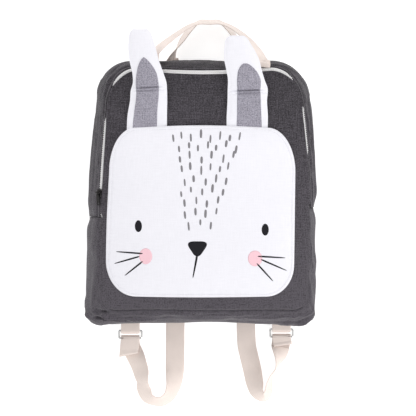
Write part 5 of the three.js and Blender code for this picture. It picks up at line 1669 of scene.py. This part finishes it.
def rounded_path(half, radius):
    """A rounded rectangle from half its size: quarter circles, each joined to the next by a straight
    side."""
    points, inner = [], np.array(half) - radius
    for k, sign in enumerate(CORNER_SIGNS):
        angle = np.radians(np.linspace(-90, 0, LOOP_STEPS) + 90 * k)
        arc = np.array(sign) * inner + radius * circle(angle)
        target = np.array(CORNER_SIGNS[(k + 1) % 4]) * inner + radius * circle(np.radians(90 * k))
        points += [arc, arc[-1] + (target - arc[-1]) * np.linspace(0, 1, LOOP_STEPS + 1)[1:-1, None]]
    return np.concatenate(points)


def build_ring(side):
    """A flat ring of plated wire with one slot."""
    wide = WEBBING_WIDTH + 2 * (RING_SIDE_CLEARANCE + RING_BAR)
    tall = RING_SLOT + 2 * RING_BAR
    half = RING_BAR / 2
    plane = rounded_path((wide / 2 - half, tall / 2 - half), RING_CORNER)
    path = np.array([*RING_PLACE[side], RING_HEIGHT]) + np.pad(plane, ((0, 0), (0, 1)))
    return put_loop(f"strap_ring_{side}_metal", path, half, MATERIALS["ring"])


SLIDER_AROUND = 6.43
SLIDER = dict(length=8.0, width=6.0, wall=2.2, lug=1.0, pin=0.6, pull=14.0, plate=1.1, clearance=0.3,
              droop=12.0)
PIN_HEIGHT = SLIDER["wall"] + 2
KNUCKLE = SLIDER["pin"] + SLIDER["clearance"] + 0.8
KNUCKLE_WIDTH = SLIDER["width"] - 2 * (SLIDER["lug"] + SLIDER["clearance"])
# Section of the pull's plate: share of the way in to its hole, share of half its thickness
PLATE_RIM = ((0, 0.6), (0.06, 0.92), (0.2, 1), (0.8, 1), (0.94, 0.92), (1, 0.6), (1, -0.6), (0.94, -0.92),
             (0.8, -1), (0.2, -1), (0.06, -0.92), (0, -0.6))
# Section of the pull's knuckle: radius, share of its width
KNUCKLE_RIM = ((KNUCKLE - 0.05, -0.46), (KNUCKLE - 0.05, 0.46), (KNUCKLE - 0.3, 0.5), (0.95, 0.5),
               (0.9, 0.46), (0.9, -0.46), (0.95, -0.5), (KNUCKLE - 0.3, -0.5))
# Radius of the pull's round end and its hole's share of it, its neck's share of the knuckle, and its
# shoulder's share of its length
PULL_END, PULL_HOLE, PULL_NECK, PULL_SHOULDER = 2.3, 0.55, 0.92, 0.55

def slider_frame():
    """The slider's place and its ways: across the zip, along it up the bag, and off the bag."""
    around = np.array([SLIDER_AROUND])
    edge = zip_edge(around)
    across = edge + (2 - edge) * 0.5
    off = wall_normal(around, across)[0]
    along = (skin(around - DIFFERENCE, across) - skin(around + DIFFERENCE, across))[0]
    side = unit(np.cross(unit(along), off))
    place = skin(around, across)[0] + off * (ZIP_COIL_HEIGHT + PIECE_GAP)
    return place, np.stack([side, np.cross(off, side), off])


def placed(points):
    """Points of the slider's own frame, put on the bag."""
    place, ways = slider_frame()
    return place + np.asarray(points) @ ways


def block(middle, size, power, columns=28, rows=15):
    """Points and faces of a rounded block: a sphere whose sines and cosines are squared off by a power."""
    rise = np.linspace(-math.pi / 2, math.pi / 2, rows)
    level = squared_off(np.cos(rise), power)[None, :, None]
    plane = squared_off(circle(full_turn(columns)), power)[:, None] * level
    height = np.broadcast_to(squared_off(np.sin(rise), power)[None, :, None], (columns, rows, 1))
    points = np.array(middle) + np.concatenate([plane, height], axis=-1) * np.array(size) / 2
    index = np.arange(columns * rows).reshape(columns, rows)
    return points.reshape(-1, 3), strip_quads(index, np.roll(index, -1, axis=0))


def put_parts(name, parts, material):
    """One piece from closed parts in the slider's own frame, each given by its points and faces."""
    faces, start = [], 0
    for spots, quads in parts:
        faces.append(quads + start)
        start += len(spots)
    spots = placed(np.concatenate([spots for spots, _ in parts]))
    return put_mesh(name, spots, np.concatenate(faces), np.zeros((len(spots), 2)), material)


def build_slider():
    """Zip slider: a rounded body, two cheeks and the pin between them."""
    wall, width, pin = SLIDER["wall"], SLIDER["width"], SLIDER["pin"]
    top = PIN_HEIGHT + pin + 0.3
    offset = (width - SLIDER["lug"]) / 2
    parts = [block((0, 0, wall / 2), (width, SLIDER["length"], wall), 0.4)]
    parts += [block((side * offset, 0, (top + wall / 2) / 2), (SLIDER["lug"], 2.4, top - wall / 2), 0.5)
              for side in (-1, 1)]
    spots, quads = block((0, 0, 0), (width - 0.4, 2 * pin, 2 * pin), 1.0)
    reach = (width - 0.4) / 2
    spots[:, 0] = squared_off(spots[:, 0] / reach, 0.3) * reach
    parts.append((spots + np.array([0, 0, PIN_HEIGHT]), quads))
    return put_parts("zip_slider_metal", parts, MATERIALS["zip_metal"])


def pull_outline(length):
    """Outline of the pull's plate: straight from the neck to the shoulders, then round its end."""
    neck = KNUCKLE_WIDTH / 2 * PULL_NECK
    angle = np.linspace(math.pi, 2 * math.pi, 25)
    tip = np.array([0, -length]) + PULL_END * circle(angle)
    shoulder = np.array([PULL_END, -PULL_SHOULDER * length])
    corners = np.array([(neck, -KNUCKLE - 0.1), (-neck, -KNUCKLE - 0.1), shoulder * np.array([-1, 1])])
    share = np.linspace(0, 1, 8)[:-1, None]

    def run(start, stop, first=0):
        return start + (stop - start) * share[first:]

    return np.concatenate([run(corners[0], corners[1]), run(corners[1], corners[2]), run(corners[2], tip[0]),
                           tip, run(tip[-1], shoulder, 1), run(shoulder, corners[0])])


def build_pull():
    """Zip pull: a plate with a round hole near its end and a knuckle round the pin, hanging by its
    droop."""
    length = SLIDER["pull"] - KNUCKLE
    outer, middle = pull_outline(length), np.array([0, -length])
    away = outer - middle
    hole = middle + PULL_HOLE * PULL_END * circle(np.arctan2(away[:, 1], away[:, 0]))
    plate = np.stack([np.concatenate([outer + (hole - outer) * inward,
                                      np.full((len(outer), 1), rise * SLIDER["plate"] / 2)], axis=-1)
                      for inward, rise in PLATE_RIM], axis=1)
    turn = full_turn(32)
    knuckle = np.stack([np.concatenate([np.full((len(turn), 1), width * KNUCKLE_WIDTH),
                                        radius * circle(turn)], axis=-1)
                        for radius, width in KNUCKLE_RIM], axis=1)
    droop = math.radians(SLIDER["droop"])
    level, fall = math.cos(droop), math.sin(droop)
    hang = np.array([[1, 0, 0], [0, level, fall], [0, -fall, level]])
    parts = []
    for grid in (plate, knuckle):
        index = np.arange(grid.shape[0] * grid.shape[1]).reshape(grid.shape[:2])
        ahead = np.roll(index, -1, axis=0)
        quads = quads_of(index, ahead, np.roll(ahead, -1, axis=1), np.roll(index, -1, axis=1))
        parts.append((grid.reshape(-1, 3) @ hang + np.array([0, 0, PIN_HEIGHT]), quads))
    return put_parts("zip_pull_metal", parts, MATERIALS["zip_metal"])


# Settings, operators and panel

CHANNELS = dict(size=4, min=0, max=1)


class BackpackColours(bpy.types.PropertyGroup):
    """Colours of the bag's finishes"""
    canvas: bpy.props.FloatVectorProperty(
        name="Canvas", description="Colour of the charcoal canvas", subtype="COLOR",
        default=linear(72, 68, 74), **CHANNELS)
    cotton: bpy.props.FloatVectorProperty(
        name="Cotton", description="Colour of the white cotton", subtype="COLOR",
        default=linear(235, 234, 240), **CHANNELS)
    patch: bpy.props.FloatVectorProperty(
        name="Ear patch", description="Colour of the grey patches", subtype="COLOR",
        default=linear(150, 147, 158), **CHANNELS)
    webbing: bpy.props.FloatVectorProperty(
        name="Webbing", description="Colour of the webbing", subtype="COLOR",
        default=linear(243, 229, 221), **CHANNELS)
    zip_tape: bpy.props.FloatVectorProperty(
        name="Zip tape", description="Colour of the zip tape", subtype="COLOR",
        default=linear(244, 243, 243), **CHANNELS)
    ink: bpy.props.FloatVectorProperty(
        name="Black print", description="Colour of eyes, nose and mouth", subtype="COLOR",
        default=linear(40, 39, 45), **CHANNELS)
    dash: bpy.props.FloatVectorProperty(
        name="Grey print", description="Colour of the forehead dashes", subtype="COLOR",
        default=linear(130, 128, 132), **CHANNELS)
    cheek: bpy.props.FloatVectorProperty(
        name="Cheeks", description="Colour of the cheeks", subtype="COLOR",
        default=linear(247, 205, 214), **CHANNELS)


class BackpackShape(bpy.types.PropertyGroup):
    """Detail of the webbing and strength of the light"""
    webbing_steps: bpy.props.IntProperty(
        name="Webbing steps", description="Steps between two stations of webbing", default=10, min=2, max=24)
    key_strength: bpy.props.FloatProperty(
        name="Key light", description="Power of the soft key light", default=70.0, min=0, max=900,
        unit="POWER")
    sky_strength: bpy.props.FloatProperty(
        name="Sky", description="Brightness of the surroundings", default=0.82, min=0, max=5,
        subtype="FACTOR")


def finish_piece(piece, body, slot, *nodes):
    """Hang a piece on its body and hide the solids that it stands for. Its slot is not used."""
    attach(piece, body)
    if nodes:
        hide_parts(*nodes)


class BACKPACK_OT_materials(bpy.types.Operator):
    """Make the finishes"""
    bl_idname = "backpack.materials"
    bl_label = "Finishes"

    def execute(self, context):
        make_materials(context.scene.backpack_colours)
        return {"FINISHED"}


class BACKPACK_OT_body(bpy.types.Operator):
    """Build the canvas panels and side bands"""
    bl_idname = "backpack.body"
    bl_label = "Canvas body"

    def execute(self, context):
        finish_piece(build_front_panel(), "root", "canvas", "front_panel")
        finish_piece(build_back_panel(), "root", "canvas", "back_panel")
        finish_piece(build_upper_band(), "root", "canvas", "gusset_upper")
        finish_piece(build_lower_band(), "root", "canvas", "gusset_lower")
        return {"FINISHED"}


class BACKPACK_OT_zip(bpy.types.Operator):
    """Build the zip's tape and teeth"""
    bl_idname = "backpack.zip"
    bl_label = "Zip"

    def execute(self, context):
        tape, teeth = build_zip()
        finish_piece(tape, "root", "zip_tape", "zip")
        finish_piece(teeth, "root", "zip_tape")
        return {"FINISHED"}


class BACKPACK_OT_pocket(bpy.types.Operator):
    """Build the face pocket, its stitches and its print"""
    bl_idname = "backpack.pocket"
    bl_label = "Face pocket"

    def execute(self, context):
        pocket, stitches = build_pocket()
        finish_piece(pocket, "root", "white_cotton", "face_pocket")
        for piece in (stitches, *build_print()):
            finish_piece(piece, "root", "white_cotton")
        return {"FINISHED"}


class BACKPACK_OT_ears(bpy.types.Operator):
    """Build the padded ears and their grey patches"""
    bl_idname = "backpack.ears"
    bl_label = "Ears"

    def execute(self, context):
        for side in ("left", "right"):
            ear = build_ear(side)
            finish_piece(ear, "root", "white_cotton", f"ear_{side}")
            finish_piece(build_patch(side), "root", "grey_cloth", f"ear_patch_{side}")
        return {"FINISHED"}


class BACKPACK_OT_webbing(bpy.types.Operator):
    """Build the carry handles, the shoulder straps and their tabs"""
    bl_idname = "backpack.webbing"
    bl_label = "Webbing"

    def execute(self, context):
        steps = context.scene.backpack_shape.webbing_steps
        for kind in ("front", "back"):
            finish_piece(build_handle(kind, steps), "root", "webbing", f"handle_{kind}")
        for side in ("left", "right"):
            finish_piece(build_strap(side, steps), "root", "webbing", f"strap_{side}")
            finish_piece(build_tab(side), "root", "webbing", f"strap_tab_{side}")
        return {"FINISHED"}


class BACKPACK_OT_metal(bpy.types.Operator):
    """Build the strap rings, the zip slider and its pull"""
    bl_idname = "backpack.metal"
    bl_label = "Rings and zip pull"

    def execute(self, context):
        for side in ("left", "right"):
            finish_piece(build_ring(side), "root", "ring_metal", f"strap_ring_{side}")
        finish_piece(build_slider(), "root", "zip_metal", "zip_slider")
        finish_piece(build_pull(), "zip_pull", "zip_metal", "zip_pull")
        return {"FINISHED"}


# Stage, in metres: the camera's height, lens, sensor and reach, and the floor's half width, drop, grey and
# glow
CAMERA_HEIGHT, CAMERA_LENS, CAMERA_SENSOR, CAMERA_REACH = 3.0, 229.5, 36.0, 20.0
FLOOR_REACH, FLOOR_DROP, FLOOR_GREY, FLOOR_GLOW = 6.0, 0.0003, 0.6, 0.72
# Lights: name, place, size, share of the key light's power
LIGHTS = (("Key", (2.5, -2.3, 2.3), 1.6, 1.0), ("Fill", (-1.2, 2.6, 1.9), 2.0, 0.4))
LIGHT_AIM = (0, 0, 0.03)


def area_light(name, place, size, power):
    """A square soft light that looks from its place at the bag."""
    data = bpy.data.lights.new(name, "AREA")
    data.size, data.energy = size, power
    light = bpy.data.objects.new(name, data)
    light.location = place
    light.rotation_euler = (Vector(LIGHT_AIM) - Vector(place)).to_track_quat("-Z", "Y").to_euler()
    bpy.context.scene.collection.objects.link(light)


class BACKPACK_OT_stage(bpy.types.Operator):
    """Set the camera, the floor and the soft studio light"""
    bl_idname = "backpack.stage"
    bl_label = "Stage"

    def execute(self, context):
        scene, shape = context.scene, context.scene.backpack_shape
        data = bpy.data.cameras.new("Camera")
        data.lens, data.sensor_width, data.clip_end = CAMERA_LENS, CAMERA_SENSOR, CAMERA_REACH
        camera = bpy.data.objects.new("Camera", data)
        camera.location = ((PHOTO_AIM[0] + SHIFT[0]) * MM, (PHOTO_AIM[1] + SHIFT[1]) * MM, CAMERA_HEIGHT)
        scene.collection.objects.link(camera)
        scene.camera = camera
        floor_data = bpy.data.meshes.new("Floor")
        corners = [(x * FLOOR_REACH, y * FLOOR_REACH, 0) for x, y in ((-1, -1), (1, -1), (1, 1), (-1, 1))]
        floor_data.from_pydata(corners, [], [(0, 1, 2, 3)])
        floor = bpy.data.objects.new("Floor", floor_data)
        floor.location.z = -FLOOR_DROP
        scene.collection.objects.link(floor)
        paint, _, principled = shader("Floor paint", 0.9, specular=0.1)
        principled.inputs["Base Color"].default_value = (FLOOR_GREY, FLOOR_GREY, FLOOR_GREY, 1)
        principled.inputs["Emission Color"].default_value = (1, 1, 1, 1)
        principled.inputs["Emission Strength"].default_value = FLOOR_GLOW
        floor_data.materials.append(paint)
        for name, place, size, share in LIGHTS:
            area_light(name, place, size, shape.key_strength * share)
        world = bpy.data.worlds.new("Studio")
        world.use_nodes = True
        sky = next(item for item in world.node_tree.nodes if item.type == "BACKGROUND")
        sky.inputs["Color"].default_value = (1, 1, 1, 1)
        sky.inputs["Strength"].default_value = shape.sky_strength
        scene.world = world
        scene.view_settings.view_transform = "Standard"
        return {"FINISHED"}


class BACKPACK_PT_panel(bpy.types.Panel):
    """Sizes, colours and build steps of the backpack"""
    bl_label = "Rabbit Backpack"
    bl_idname = "BACKPACK_PT_panel"
    bl_space_type = "VIEW_3D"
    bl_region_type = "UI"
    bl_category = "Backpack"

    def draw(self, context):
        layout = self.layout
        for group in (context.scene.backpack_shape, context.scene.backpack_colours):
            box = layout.box()
            for key in group.__annotations__:
                box.prop(group, key)
        for step in STEPS:
            layout.operator(step.bl_idname)


STEPS = (BACKPACK_OT_stage, BACKPACK_OT_materials, BACKPACK_OT_body, BACKPACK_OT_zip, BACKPACK_OT_pocket,
         BACKPACK_OT_ears, BACKPACK_OT_webbing, BACKPACK_OT_metal)
CLASSES = (BackpackColours, BackpackShape, *STEPS, BACKPACK_PT_panel)


def register():
    """Add the settings, the operators and the panel."""
    for item in CLASSES:
        bpy.utils.register_class(item)
    bpy.types.Scene.backpack_colours = bpy.props.PointerProperty(type=BackpackColours)
    bpy.types.Scene.backpack_shape = bpy.props.PointerProperty(type=BackpackShape)


def unregister():
    """Take away what register added."""
    del bpy.types.Scene.backpack_shape
    del bpy.types.Scene.backpack_colours
    for item in reversed(CLASSES):
        bpy.utils.unregister_class(item)


def main():
    """Build everything in order."""
    register()
    for step in ("stage", "materials", "body", "zip", "pocket", "ears", "webbing", "metal"):
        getattr(bpy.ops.backpack, step)()


if __name__ == "__main__":
    main()
